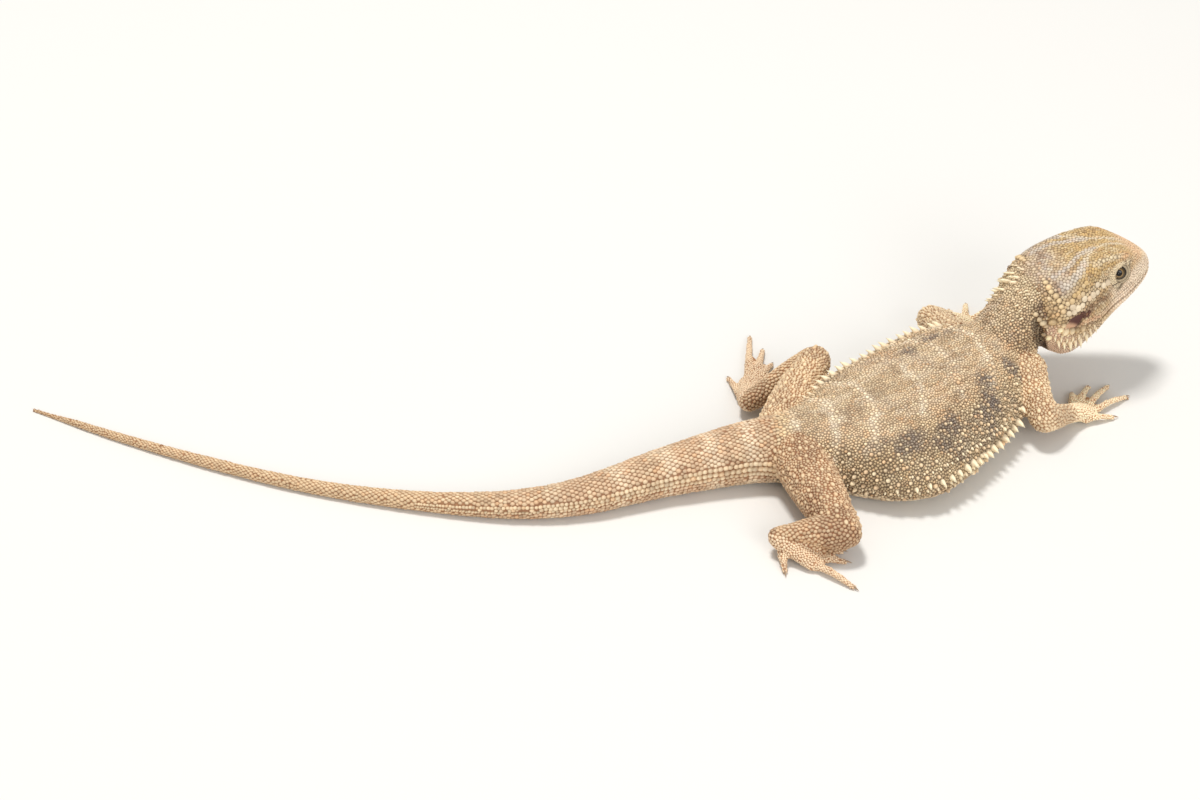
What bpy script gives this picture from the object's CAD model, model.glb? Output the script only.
"""Bearded dragon: the looks of a still, life-size model, dressed over its CAD frame.

The body tables below repeat the model's own: millimetres, with the head towards +X and Z up,
before the model is centred on its footprint. One skin covers the flesh, and every scale is solid
mesh rooted in that skin and lying rearwards. Colour is worked out from the place on the animal.
"""

import math
from collections import namedtuple

import bmesh
import bpy
import numpy as np
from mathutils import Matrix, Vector
from mathutils.bvhtree import BVHTree
from mathutils.kdtree import KDTree


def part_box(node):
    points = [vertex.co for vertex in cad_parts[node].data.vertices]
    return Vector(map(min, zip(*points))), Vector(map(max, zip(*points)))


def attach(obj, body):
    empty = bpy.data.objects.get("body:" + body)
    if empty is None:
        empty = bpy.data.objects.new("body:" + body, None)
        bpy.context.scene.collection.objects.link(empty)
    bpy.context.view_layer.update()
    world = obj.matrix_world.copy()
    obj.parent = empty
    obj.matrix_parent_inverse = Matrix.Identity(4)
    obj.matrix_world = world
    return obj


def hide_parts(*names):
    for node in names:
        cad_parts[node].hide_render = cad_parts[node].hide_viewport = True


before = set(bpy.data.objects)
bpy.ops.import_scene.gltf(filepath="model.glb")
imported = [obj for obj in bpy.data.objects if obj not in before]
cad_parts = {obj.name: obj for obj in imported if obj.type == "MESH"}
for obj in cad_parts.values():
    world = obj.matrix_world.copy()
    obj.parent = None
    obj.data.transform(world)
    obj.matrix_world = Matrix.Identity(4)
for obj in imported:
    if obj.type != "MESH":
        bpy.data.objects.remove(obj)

bl_info = {
    "name": "Bearded Dragon",
    "version": (1, 0, 0),
    "blender": (4, 5, 0),
    "location": "3D View > Sidebar > Bearded Dragon",
    "description": "Skin, scales, spines, eyes and claws of a still, life-size bearded dragon",
    "category": "Object",
}

MM = 0.001
UP = np.array((0.0, 0.0, 1.0))
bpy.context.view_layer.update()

# ---------------------------------------------------------------- body tables, in millimetres

# The backbone in plan, from under the back of the head to the tip of the tail.
BACKBONE = (
    (162.0, 21.5), (150.5, 12.5), (139.5, 3.5), (115.0, -15.5), (89.0, -35.0), (70.0, -43.5), (50.0, -46.5),
    (21.0, -55.0), (-14.0, -67.5), (-52.0, -67.0), (-105.0, -54.5), (-161.0, -31.0), (-207.0, -7.0),
)
NECK_AT = 14.6  # station of the point that the stations below count from, along the backbone
TAIL_FROM = 101.0
TAIL_END = 391.0
TAIL_COAT = 104.0  # where the keeled scales of the tail take over
NECK_COAT = 9.0  # where the neck's own colours end
TAIL_WIDTH = ((206, 4.9), (224, 4.0), (260, 2.9), (300, 2.4), (339, 1.9), (370, 1.4), (391, 0.7))
RIGHT_WIDTH = (
    (5, 13.6), (12, 21.5), (20, 27.5), (32, 33.0), (46, 37.0), (60, 40.5), (72, 41.8), (82, 36.5),
    (92, 23.0),
    (101, 13.8), (110, 11.3), (119, 10.4), (134, 9.4), (149, 8.5), (168, 7.7), (186, 6.3), *TAIL_WIDTH,
)
LEFT_WIDTH = (
    (5, 11.6), (12, 19.0), (20, 25.0), (32, 28.0), (44, 28.0), (56, 27.0), (70, 27.0), (82, 24.0),
    (92, 19.0),
    (101, 14.2), (110, 12.4), (119, 11.5), (134, 10.2), (149, 8.6), (168, 7.3), (186, 6.1), *TAIL_WIDTH,
)
BACK_HEIGHT = (
    (5, 31.0), (14, 30.6), (24, 30.0), (40, 30.0), (58, 29.5), (76, 27.5), (92, 25.0), (104, 23.5),
    (119, 20.6),
    (134, 18.0), (149, 15.6), (168, 13.0), (186, 11.0), (206, 8.9), (224, 7.4), (260, 5.5), (300, 4.5),
    (339, 3.5), (370, 2.7), (391, 1.3),
)
SIDE_HEIGHT = (
    (5, 17.0), (14, 12.5), (26, 9.5), (60, 8.5), (88, 8.5), (104, 9.6), (119, 9.6), (149, 8.2), (186, 5.9),
    (224, 3.8), (260, 2.8), (300, 2.3), (339, 1.8), (370, 1.3), (391, 0.6),
)

# The head's own frame: its origin is at the middle of the back of the skull.
HEAD_ORIGIN = Vector((154.6, 12.0, 38.2))
HEAD_YAW = 21.4
HEAD_PITCH = 8.7
HEAD_ROLL = 1.5
HEAD_STATIONS = (0.0, 8.0, 18.0, 27.0, 34.0, 40.0, 45.4, 48.6, 50.0)
LIP = (  # sideways and up, at each of the stations
    (15.4, -8.6), (18.2, -8.4), (17.0, -8.5), (14.0, -7.6), (11.7, -6.8), (9.4, -6.0), (6.4, -5.3),
    (3.8, -4.8),
    (1.9, -4.6),
)
EYE_AT = (32.8, 8.3, 2.8)  # forward, sideways and up in the head's frame
EYE_RADIUS = 3.9
EAR_AT = (9.6, 18.3, -4.4)
EAR_LENGTH = 6.4
EAR_HEIGHT = 4.4
EAR_SLANT = 35.0
NOSTRIL_AT = (46.2, 5.9, 0.4)

# Limbs: joints from the trunk outwards, the ball of the foot, and each digit's root and tip in plan.
LIMBS = {
    "front_right": {
        "joints": ((154.6, -3.0, 16.0), (158.2, -26.6, 10.6), (169.4, -16.6, 5.6)),
        "ball": (176.4, -9.8, 2.3),
        "digits": (
            ((172.4, -5.4), (173.8, 2.6)), ((175.2, -4.8), (180.2, 6.8)), ((178.6, -5.8), (187.6, 7.2)),
            ((181.2, -8.6), (193.2, 0.6)), ((176.0, -15.4), (186.4, -12.2)),
        ),
    },
    "front_left": {
        "joints": ((133.0, 15.0, 16.0), (124.6, 37.8, 11.0), (132.8, 45.2, 5.6)),
        "ball": (139.8, 49.2, 2.3),
        "digits": (
            ((144.0, 45.4), (151.4, 44.0)), ((145.0, 48.4), (156.4, 50.6)), ((143.6, 51.8), (153.6, 60.6)),
            ((140.4, 53.6), (141.8, 63.0)), ((135.2, 51.4), (134.8, 58.6)),
        ),
    },
    "hind_right": {
        "joints": ((68.2, -50.0, 12.5), (81.4, -91.0, 9.8), (60.2, -89.8, 6.4)),
        "ball": (71.8, -97.4, 2.3),
        "digits": (
            ((69.4, -92.6), (75.4, -87.6)), ((72.4, -94.2), (81.6, -90.6)), ((73.6, -96.8), (82.4, -96.2)),
            ((72.6, -99.6), (84.0, -109.4)), ((61.2, -94.2), (61.8, -101.4)),
        ),
    },
    "hind_left": {
        "joints": ((61.0, -41.0, 12.5), (77.9, 1.0, 16.2), (54.0, -10.0, 6.2)),
        "ball": (55.8, 8.6, 2.3),
        "digits": (
            ((59.6, 7.0), (64.4, 12.6)), ((59.4, 10.4), (64.2, 21.8)), ((58.0, 11.6), (61.4, 31.2)),
            ((54.8, 12.0), (57.0, 40.0)), ((51.8, -2.6), (47.8, 12.6)),
        ),
    },
}
SEGMENTS = {"front": ("upper_arm", "forearm", "hand"), "hind": ("thigh", "shin", "foot")}
DIGIT_ROOT_HEIGHT = 1.9
DIGIT_REST = 0.85
DIGIT_ARCH = 1.3

HEAD_PARTS = ["head", "lower_jaw"]
BODY_PARTS = ["neck", "trunk", "tail_base", "tail_middle", "tail_rear", "tail_tip"]
LIMB_PARTS = [
    f"{part}_{side}"
    for part in ("upper_arm", "forearm", "hand", "thigh", "shin", "foot")
    for side in ("left", "right")
]
FLESH = HEAD_PARTS + BODY_PARTS + LIMB_PARTS


def flesh(*beginnings):
    """Names of the pieces of flesh that begin with any of some words."""
    return [name for name in FLESH if name.startswith(beginnings)]


# ---------------------------------------------------------------- curves, frames and noise

def spline(points, t):
    """The point at t, counted in points, on a smooth curve through all of them."""
    i = min(max(int(t), 0), len(points) - 2)
    u = t - i
    before, here = points[max(i - 1, 0)], points[i]
    there, after = points[i + 1], points[min(i + 2, len(points) - 1)]
    return (
        here
        + (there - before) * (u * 0.5)
        + (before * 2 - here * 5 + there * 4 - after) * (u * u * 0.5)
        + (here * 3 - before - there * 3 + after) * (u * u * u * 0.5)
    )


def profile(table, stations):
    """A table's values at many stations."""
    table = np.array(table, float)
    return np.interp(stations, table[:, 0], table[:, 1])


def ramp(low, high, x):
    """0 below low, 1 above high and smooth between. With low above high it runs the other way."""
    t = np.clip((np.asarray(x, float) - low) / (high - low), 0.0, 1.0)
    return t * t * (3 - 2 * t)


def bump(middle, reach, x):
    """1 at the middle and 0 from reach away."""
    return 1.0 - ramp(0.0, reach, np.abs(np.asarray(x, float) - middle))


def mix(a, b, share):
    """Colour a where share is 0 and colour b where it is 1."""
    a, b, share = np.asarray(a, float), np.asarray(b, float), np.asarray(share, float)
    return a + (b - a) * share[..., None]


def between(a, b, share):
    """Number a where share is 0 and number b where it is 1."""
    return a + (b - a) * share


def unit(vectors):
    """Vectors of length 1 along the last axis."""
    length = np.linalg.norm(vectors, axis=-1, keepdims=True)
    return vectors / np.maximum(length, 1e-9)


def lattice(cell, seed):
    """A repeatable number from 0 to 1 for each whole-numbered cell."""
    cell = cell.astype(np.int64)
    mixed = (cell[..., 0] * 73856093) ^ (cell[..., 1] * 19349663) ^ (cell[..., 2] * 83492791)
    mixed = mixed ^ (seed * 2654435761)
    mixed = (mixed ^ (mixed >> 13)) * 1274126177
    return ((mixed ^ (mixed >> 16)) & 0xFFFFFF) / float(0x1000000)


def noise(places, size, seed):
    """Smooth noise from 0 to 1, whose lumps are about size millimetres across."""
    spot = np.asarray(places, float) / size + 1000.0
    cell = np.floor(spot)
    part = spot - cell
    part = part * part * (3 - 2 * part)
    total = 0.0
    for corner in range(8):
        step = np.array([corner & 1, (corner >> 1) & 1, corner >> 2])
        share = np.prod(np.where(step == 1, part, 1 - part), axis=-1)
        total = total + share * lattice(cell + step, seed)
    return total


def layered(places, size, seed):
    """Noise of three sizes, from 0 to 1 with its middle spread out."""
    value = 0.55 * noise(places, size, seed) + 0.3 * noise(places, size / 2.1, seed + 7)
    value = value + 0.15 * noise(places, size / 4.3, seed + 13)
    return np.clip((value - 0.5) * 1.7 + 0.5, 0, 1)


class Backbone:
    """The body's plan curve, walked by distance in millimetres."""

    def __init__(self):
        points = [np.array((x, y, 0.0)) for x, y in BACKBONE]
        last = len(points) - 1
        rough = np.array([spline(points, k / 24) for k in range(last * 24 + 1)])
        along = -NECK_AT + np.concatenate([[0], np.cumsum(np.linalg.norm(np.diff(rough, axis=0), axis=1))])
        self.stations = np.arange(-14.0, TAIL_END + 0.5, 1.0)
        self.places = np.stack([np.interp(self.stations, along, rough[:, k]) for k in range(3)], axis=1)
        self.forward = unit(-np.gradient(self.places, axis=0))

    def at(self, station):
        """(place, forward, right) at one station."""
        place = np.array([np.interp(station, self.stations, self.places[:, k]) for k in range(3)])
        forward = unit(np.array([np.interp(station, self.stations, self.forward[:, k]) for k in range(3)]))
        return place, forward, np.array([forward[1], -forward[0], 0.0])

    def index_at(self, station):
        return np.clip(np.round(station - self.stations[0]).astype(int), 0, len(self.stations) - 1)

    def locate(self, places):
        """(station, distance to the right of the backbone) of many places, seen from above."""
        coarse = np.arange(0, len(self.stations), 4)
        flat = places[:, :2]
        best = np.zeros(len(flat), int)
        for start in range(0, len(flat), 20000):
            part = flat[start:start + 20000]
            gap = ((part[:, None, :] - self.places[None, coarse, :2]) ** 2).sum(-1)
            best[start:start + 20000] = coarse[np.argmin(gap, axis=1)]
        station = self.stations[best]
        for _ in range(2):
            index = self.index_at(station)
            offset = places - self.places[index]
            station = self.stations[index] - (offset[:, :2] * self.forward[index, :2]).sum(-1)
            station = np.clip(station, self.stations[0], TAIL_END)
        index = self.index_at(station)
        forward = self.forward[index]
        offset = places - self.places[index]
        across = offset[:, 0] * forward[:, 1] - offset[:, 1] * forward[:, 0]
        return station, across


BODY = Backbone()


def head_frame():
    """Origin, forward, right and up of the head."""
    yaw, pitch, roll = (math.radians(a) for a in (HEAD_YAW, HEAD_PITCH, HEAD_ROLL))
    forward = Vector((math.cos(yaw) * math.cos(pitch), math.sin(yaw) * math.cos(pitch), math.sin(pitch)))
    level = Vector((math.sin(yaw), -math.cos(yaw), 0))
    upward = level.cross(forward)
    right = level * math.cos(roll) - upward * math.sin(roll)
    above = upward * math.cos(roll) + level * math.sin(roll)
    return tuple(np.array(v) for v in (HEAD_ORIGIN, forward, right, above))


HEAD_BASE, HEAD_AHEAD, HEAD_RIGHT, HEAD_UP = head_frame()


def in_head(places):
    """Model millimetres of places given as forward, right and up in the head's frame."""
    places = np.asarray(places, float)
    ahead, right, up = (places[..., k:k + 1] for k in range(3))
    return HEAD_BASE + ahead * HEAD_AHEAD + right * HEAD_RIGHT + up * HEAD_UP


def to_head(places):
    """Forward, right and up in the head's frame of places in model millimetres."""
    offset = np.asarray(places, float) - HEAD_BASE
    return np.stack([offset @ HEAD_AHEAD, offset @ HEAD_RIGHT, offset @ HEAD_UP], axis=-1)


def folded(local):
    """Places of the head's frame with the left side laid over the right."""
    return np.stack([local[..., 0], np.abs(local[..., 1]), local[..., 2]], axis=-1)


def half_width(station, across):
    """How far the outline is from the backbone, on the side that across lies on."""
    return np.where(np.asarray(across) > 0, profile(RIGHT_WIDTH, station), profile(LEFT_WIDTH, station))


def side_of(across):
    return "right" if across > 0 else "left"


def node_middle(name):
    """The middle of a CAD piece's box, in millimetres."""
    low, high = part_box(name)
    return np.array((low + high) / 2) / MM


# The model is centred on its footprint: the eyes say how far the tables above were moved.
EYES_MIDDLE = (node_middle("eye_right") + node_middle("eye_left")) / 2
CENTRING = EYES_MIDDLE - in_head([EYE_AT[0], 0.0, EYE_AT[2]])
CENTRING[2] = 0.0


def distance_to_line(places, line):
    """(distance, share of the way along) from many places to a polyline."""
    line = np.asarray(line, float)
    steps = np.linalg.norm(np.diff(line, axis=0), axis=1)
    along = np.concatenate([[0], np.cumsum(steps)])
    best = np.full(len(places), 1e9)
    share = np.zeros(len(places))
    for k in range(len(line) - 1):
        leg = line[k + 1] - line[k]
        t = np.clip(((places - line[k]) @ leg) / max(leg @ leg, 1e-9), 0, 1)
        gap = np.linalg.norm(places - (line[k] + t[:, None] * leg), axis=1)
        closer = gap < best
        best = np.where(closer, gap, best)
        share = np.where(closer, (along[k] + t * steps[k]) / along[-1], share)
    return best, share


def along_line(line, spacing):
    """Places at an even spacing along a smooth curve through the points of a line."""
    points = [np.asarray(p, float) for p in line]
    dense = np.array([spline(points, t) for t in np.linspace(0, len(points) - 1, 24 * (len(points) - 1) + 1)])
    walked = np.concatenate([[0], np.cumsum(np.linalg.norm(np.diff(dense, axis=0), axis=1))])
    count = max(2, int(round(walked[-1] / spacing)) + 1)
    wanted = np.linspace(0, walked[-1], count)
    return np.stack([np.interp(wanted, walked, dense[:, k]) for k in range(dense.shape[1])], axis=1)


# ---------------------------------------------------------------- sizes and colours to choose

def length_choice(name, words, value):
    """A length in millimetres."""
    return bpy.props.FloatProperty(name=name, description=words, default=value, min=0.01, max=20.0)


def colour_choice(name, words, value):
    """A colour in linear light."""
    return bpy.props.FloatVectorProperty(
        name=name, description=words, default=value, size=3, min=0.0, max=1.0, subtype="COLOR"
    )


class DragonSizes(bpy.types.PropertyGroup):
    """Sizes of the skin and its scales, in millimetres"""

    skin_grid: length_choice("Skin grid", "Spacing of the skin's mesh", 0.76)
    coat_depth: length_choice("Coat depth", "How far the skin lies inside the outline", 0.42)
    back_granule: length_choice("Back granule", "Width of the small scales of the back and flanks", 0.88)
    belly_scale: length_choice("Belly scale", "Width of the flat scales of the belly", 1.75)
    flank_tubercle: length_choice("Flank tubercle", "Width of the raised scales of the flanks", 1.45)
    tubercle_spacing: length_choice("Tubercle spacing", "Distance between raised scales", 2.6)
    fringe_spine: length_choice("Fringe spine", "Length of the spines along each flank", 3.7)
    fringe_spacing: length_choice("Fringe spacing", "Distance between the spines along each flank", 3.7)
    limb_scale: length_choice("Limb scale", "Width of the scales of the limbs", 1.35)
    digit_scale: length_choice("Digit scale", "Width of the scales of the fingers and toes", 0.74)
    neck_scale: length_choice("Neck scale", "Width of the scales of the neck", 0.95)
    head_scale: length_choice("Head scale", "How large the head's small scales are, 1 being usual", 1.0)
    looseness: length_choice("Looseness", "How far a scale may stand out of its row", 0.22)
    tail_scale: length_choice("Tail scale", "Width of the scales of the tail, a little behind its root", 1.65)
    beard_spine: length_choice("Beard spine", "Length of the spines under the jaw", 3.1)


class DragonColours(bpy.types.PropertyGroup):
    """Colours of the animal, in linear light"""

    sand: colour_choice("Sand", "Ground colour of the back and limbs", (0.7, 0.51, 0.315))
    cream: colour_choice("Cream", "Raised scales, spines and the lips", (0.9, 0.745, 0.5))
    pale: colour_choice("Pale", "Blotches along the spine and bands of the tail", (0.92, 0.8, 0.62))
    charcoal: colour_choice("Charcoal", "Dark patches of the flanks", (0.1, 0.082, 0.075))
    grey: colour_choice("Grey", "Faint patches of the back", (0.36, 0.3, 0.25))
    umber: colour_choice("Umber", "Skin between the scales", (0.3, 0.165, 0.09))
    orange: colour_choice("Orange", "Tinted scales of the shoulders and brow", (0.84, 0.42, 0.17))
    gold: colour_choice("Gold", "Cheeks and crown", (0.77, 0.5, 0.19))
    olive: colour_choice("Olive", "Greenish brown of the crown and flanks", (0.52, 0.4, 0.215))
    pink: colour_choice("Pink", "Throat and thin skin", (0.8, 0.55, 0.41))
    lavender: colour_choice("Lavender", "Streaks of the crown", (0.6, 0.53, 0.5))
    horn: colour_choice("Horn", "Claws", (0.50, 0.36, 0.24))
    iris: colour_choice("Iris", "Ring round the pupil", (0.42, 0.27, 0.12))


def sizes():
    return bpy.context.scene.dragon_sizes


class Palette:
    """The chosen colours by name, each as three numbers."""

    def __getattr__(self, name):
        return np.array(getattr(bpy.context.scene.dragon_colours, name))


hue = Palette()


# ---------------------------------------------------------------- meshes from arrays

def to_model(places):
    """Metres in the model's frame, from body millimetres."""
    return (np.asarray(places, float) + CENTRING) * MM


def link(name, data):
    """A new object in the scene."""
    thing = bpy.data.objects.new(name, data)
    bpy.context.scene.collection.objects.link(thing)
    return thing


def mesh_from(name, places, corners, colours=None, patches=None):
    """A mesh object from places in body millimetres and triangles, with point colours and an unwrap."""
    mesh = bpy.data.meshes.new(name)
    corners = np.asarray(corners, np.int32)
    mesh.vertices.add(len(places))
    mesh.vertices.foreach_set("co", to_model(places).astype(np.float32).ravel())
    mesh.loops.add(corners.size)
    mesh.loops.foreach_set("vertex_index", corners.ravel())
    mesh.polygons.add(len(corners))
    mesh.polygons.foreach_set("loop_start", np.arange(0, corners.size, corners.shape[1], dtype=np.int32))
    mesh.polygons.foreach_set("use_smooth", np.ones(len(corners), bool))
    mesh.update(calc_edges=True)
    if colours is not None:
        paint(mesh, "hide_colour", colours)
    if patches is not None:
        layer = mesh.uv_layers.new(name="OFBake")
        layer.data.foreach_set("uv", np.asarray(patches, np.float32)[corners.ravel()].ravel())
    return link(name, mesh)


def paint(mesh, name, colours):
    """Stores a colour for each point of a mesh."""
    layer = mesh.color_attributes.new(name=name, type="FLOAT_COLOR", domain="POINT")
    full = np.ones((len(mesh.vertices), 4), np.float32)
    full[:, :3] = np.clip(colours, 0, 1)
    layer.data.foreach_set("color", full.ravel())


def mesh_arrays(mesh):
    """(places in body millimetres, triangles) of a mesh in metres."""
    places = np.empty(len(mesh.vertices) * 3, np.float32)
    mesh.vertices.foreach_get("co", places)
    mesh.calc_loop_triangles()
    corners = np.empty(len(mesh.loop_triangles) * 3, np.int32)
    mesh.loop_triangles.foreach_get("vertices", corners)
    return places.reshape(-1, 3).astype(float) / MM - CENTRING, corners.reshape(-1, 3)


def point_normals(places, corners):
    """Normals of a mesh's points, weighted by the area of the faces round them."""
    a, b, c = (places[corners[:, k]] for k in range(3))
    face = np.cross(b - a, c - a)
    total = np.zeros_like(places)
    for k in range(3):
        for axis in range(3):
            total[:, axis] += np.bincount(corners[:, k], weights=face[:, axis], minlength=len(places))
    return unit(total)


def relaxed(places, corners, rounds, share):
    """Places smoothed without shrinking. share says how much each point takes part."""
    edges = np.concatenate([corners[:, [0, 1]], corners[:, [1, 2]], corners[:, [2, 0]]])
    edges = np.unique(np.sort(edges, axis=1), axis=0)
    start = np.concatenate([edges[:, 0], edges[:, 1]])
    end = np.concatenate([edges[:, 1], edges[:, 0]])
    count = np.maximum(np.bincount(start, minlength=len(places)), 1)
    for turn in range(rounds * 2):
        step = 0.5 if turn % 2 == 0 else -0.52
        sums = [np.bincount(start, weights=places[end, k], minlength=len(places)) for k in range(3)]
        middle = np.stack(sums, axis=1) / count[:, None]
        places = places + (middle - places) * (step * share)[:, None]
    return places


def bands(rings, sides, first=0):
    """Triangles between neighbouring rings of points, of which the first starts at the point first."""
    ring, k = np.divmod(np.arange((rings - 1) * sides), sides)
    a = first + ring * sides + k
    b = first + ring * sides + (k + 1) % sides
    return np.stack([a, b, b + sides, a, b + sides, a + sides], axis=1).reshape(-1, 3)


def fan(middle, first, sides):
    """Triangles from one point to a ring of points."""
    k = np.arange(sides)
    return np.stack([np.full(sides, middle), first + k, first + (k + 1) % sides], axis=1)


def closed_tube(rings, sides, first=0):
    """Triangles of rings with a flat root and with one more point, after the rings, as the tip."""
    k = np.arange(1, sides - 1)
    root = np.stack([np.full(sides - 2, first), first + k + 1, first + k], axis=1)
    tip = fan(first + rings * sides, first + (rings - 1) * sides, sides)
    return np.concatenate([bands(rings, sides, first), tip, root])


# ---------------------------------------------------------------- the skin

JOIN_OVERLAP = 0.25  # how far each piece of flesh grows, so that neighbours join
MOUTH_CORNER = 22.5  # forward of the back of the skull
MOUTH_DEPTH = 0.75
SMOOTHING_ROUNDS = 14
THIN_SMOOTHING = 0.55  # share of the smoothing on hands, feet and the tip of the tail
THIN_COAT = 0.62  # share of the coat's depth there
LOWEST_SKIN = 0.02


class Skin:
    """The finished skin as arrays, with a tree for rays and nearest points."""

    def __init__(self, places, corners, parts):
        self.places = places
        self.corners = corners
        self.parts = parts
        self.normals = point_normals(places, corners)
        self.tree = BVHTree.FromPolygons(places.tolist(), corners.tolist())

    def cast(self, start, direction, reach):
        """(place, normal, point index) where a ray meets the skin, or None."""
        hit, normal, face, _ = self.tree.ray_cast(Vector(start), Vector(direction), reach)
        if hit is None:
            return None
        return np.array(hit), np.array(normal), self.corners[face][0]

    def nearest(self, place):
        """(place, smoothed normal, point index) of the skin nearest to a place."""
        hit, _, face, _ = self.tree.find_nearest(Vector(place))
        ends = self.corners[face]
        return np.array(hit), unit(self.normals[ends].sum(axis=0)), ends[0]


BENCH = {}  # what one operator makes and a later one needs


def on_bench(name):
    if name not in BENCH:
        raise RuntimeError(f"make the {name} first")
    return BENCH[name]


def part_of_each(places):
    """The index in FLESH of the CAD piece nearest to each place."""
    points, faces, owners = [], [], []
    for index, name in enumerate(FLESH):
        spots, corners = mesh_arrays(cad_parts[name].data)
        faces += (corners + len(points)).tolist()
        points += spots.tolist()
        owners += [index] * len(corners)
    tree = BVHTree.FromPolygons(points, faces)
    found = np.zeros(len(places), int)
    for k, place in enumerate(places):
        found[k] = owners[tree.find_nearest(Vector(place))[2]]
    return found


def united_flesh(grid):
    """One closed mesh round all the CAD pieces of flesh, on an even grid."""
    whole = bmesh.new()
    for name in FLESH:
        piece = bmesh.new()
        piece.from_mesh(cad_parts[name].data)
        bmesh.ops.remove_doubles(piece, verts=piece.verts, dist=1e-6)
        piece.normal_update()
        for point in piece.verts:
            point.co += point.normal * (JOIN_OVERLAP * MM)
        part = bpy.data.meshes.new("part")
        piece.to_mesh(part)
        piece.free()
        whole.from_mesh(part)
        bpy.data.meshes.remove(part)
    mesh = bpy.data.meshes.new("flesh")
    whole.to_mesh(mesh)
    whole.free()
    thing = link("flesh", mesh)
    remesh = thing.modifiers.new("even grid", "REMESH")
    remesh.mode = "VOXEL"
    remesh.voxel_size = grid * MM
    made = bpy.data.meshes.new_from_object(thing.evaluated_get(bpy.context.evaluated_depsgraph_get()))
    bpy.data.objects.remove(thing)
    places, corners = mesh_arrays(made)
    bpy.data.meshes.remove(made)
    return places, corners


def lip_line(side):
    """The mouth's line on one side, from its corner to the tip of the snout."""
    stations = np.linspace(MOUTH_CORNER, HEAD_STATIONS[-1] - 0.4, 14)
    width = np.interp(stations, HEAD_STATIONS, [p[0] for p in LIP])
    height = np.interp(stations, HEAD_STATIONS, [p[1] for p in LIP])
    height = height - 1.2 * ramp(MOUTH_CORNER + 6.0, MOUTH_CORNER, stations)
    return in_head(np.stack([stations, width * side, height], axis=1))


# Folds of the neck and the head: the line of each in the head's frame, its depth and its half width.
FOLDS = (
    (((-1.5, 12.0, 5.5), (0.0, 15.0, 1.0), (0.8, 15.9, -3.0), (1.2, 15.9, -6.0)), 1.3, 1.5),
    (((-3.4, 11.4, 6.5), (-2.6, 13.6, 2.0), (-2.0, 14.0, -2.0)), 1.1, 1.4),
    (((-6.5, 10.6, 5.5), (-6.0, 12.6, 1.0), (-5.4, 13.0, -3.0)), 1.2, 1.7),
    (((-9.6, 10.0, 3.5), (-9.4, 12.0, -1.0), (-8.6, 12.4, -6.0)), 1.1, 1.8),
    (((36.0, 10.9, 8.0), (32.0, 12.0, 9.6), (27.5, 12.6, 10.2), (23.5, 12.8, 10.0)), 0.4, 0.9),
    (((25.5, 14.3, 1.0), (20.0, 16.2, 0.2), (15.5, 17.4, -1.0)), 0.5, 1.2),
    (((2.0, 10.0, 8.2), (2.6, 13.2, 5.4), (3.6, 15.8, 1.6)), 0.6, 1.1),
    (((36.0, 3.2, 9.9), (30.0, 5.2, 12.3), (25.0, 7.5, 13.2)), 0.3, 0.9),
    (((-3.2, 13.4, -3.4), (-2.6, 13.4, -8.0), (-1.6, 12.6, -12.5), (0.2, 11.4, -16.5)), 2.3, 2.1),
)


def sculpted(places, corners, parts):
    """The skin's own folds and ripples: at the mouth, on the head and neck, and over the trunk."""
    normals = point_normals(places, corners)
    depth = np.zeros(len(places))
    local = to_head(places)
    near_head = np.where((local[:, 0] > -16) & (np.abs(local[:, 1]) < 24))[0]
    spots = places[near_head]
    for side in (1, -1):
        gap, _ = distance_to_line(spots, lip_line(side))
        depth[near_head] = np.maximum(depth[near_head], MOUTH_DEPTH * (1 - ramp(0.1, 0.95, gap)))
        for line, fall, reach in FOLDS:
            curve = in_head(along_line(np.array(line) * (1, side, 1), 1.0))
            gap, share = distance_to_line(spots, curve)
            fade = ramp(0.0, 0.2, share) * ramp(1.0, 0.8, share) if fall < 2 else 1.0
            depth[near_head] = np.maximum(depth[near_head], fall * (1 - ramp(0.0, reach, gap)) * fade)
    moved = places - normals * depth[:, None]
    station, across = BODY.locate(places)
    # Slack skin ripples lengthways over the back and crosswise over the neck.
    trunk = parts == FLESH.index("trunk")
    ripple = np.sin(across * 1.55 + 5.0 * noise(places, 22.0, 31)) * 0.22
    ripple = ripple * ramp(0.42, 0.6, noise(places, 30.0, 5)) * trunk * ramp(15, 24, places[:, 2])
    wrinkle = np.sin(station * 2.3 + 4.0 * noise(places, 9.0, 17)) * 0.28 * (parts == FLESH.index("neck"))
    return moved + normals * (ripple + wrinkle)[:, None]


def make_skin():
    """One skin over all the flesh, lying inside the outline by the depth of the coat."""
    choice = sizes()
    places, corners = united_flesh(choice.skin_grid)
    parts = part_of_each(places)
    names = np.array(FLESH)[parts]
    small = np.isin(names, flesh("hand", "foot", "tail_tip"))
    eye_gap = np.linalg.norm(folded(to_head(places)) - EYE_AT, axis=1)
    share = np.where(small, THIN_SMOOTHING, 1.0) * ramp(3.6, 6.5, eye_gap)
    places = relaxed(places, corners, SMOOTHING_ROUNDS, np.clip(share, 0.25, 1))
    normals = point_normals(places, corners)
    inset = np.where(small, THIN_COAT, 1.0) * choice.coat_depth + JOIN_OVERLAP
    inset = relaxed(np.repeat(inset[:, None], 3, axis=1), corners, 4, np.ones(len(places)))[:, 0]
    places = places - normals * inset[:, None]
    places = sculpted(places, corners, parts)
    places[:, 2] = np.maximum(places[:, 2], LOWEST_SKIN)
    BENCH["skin"] = Skin(places, corners, parts)


# ---------------------------------------------------------------- scale shapes

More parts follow.
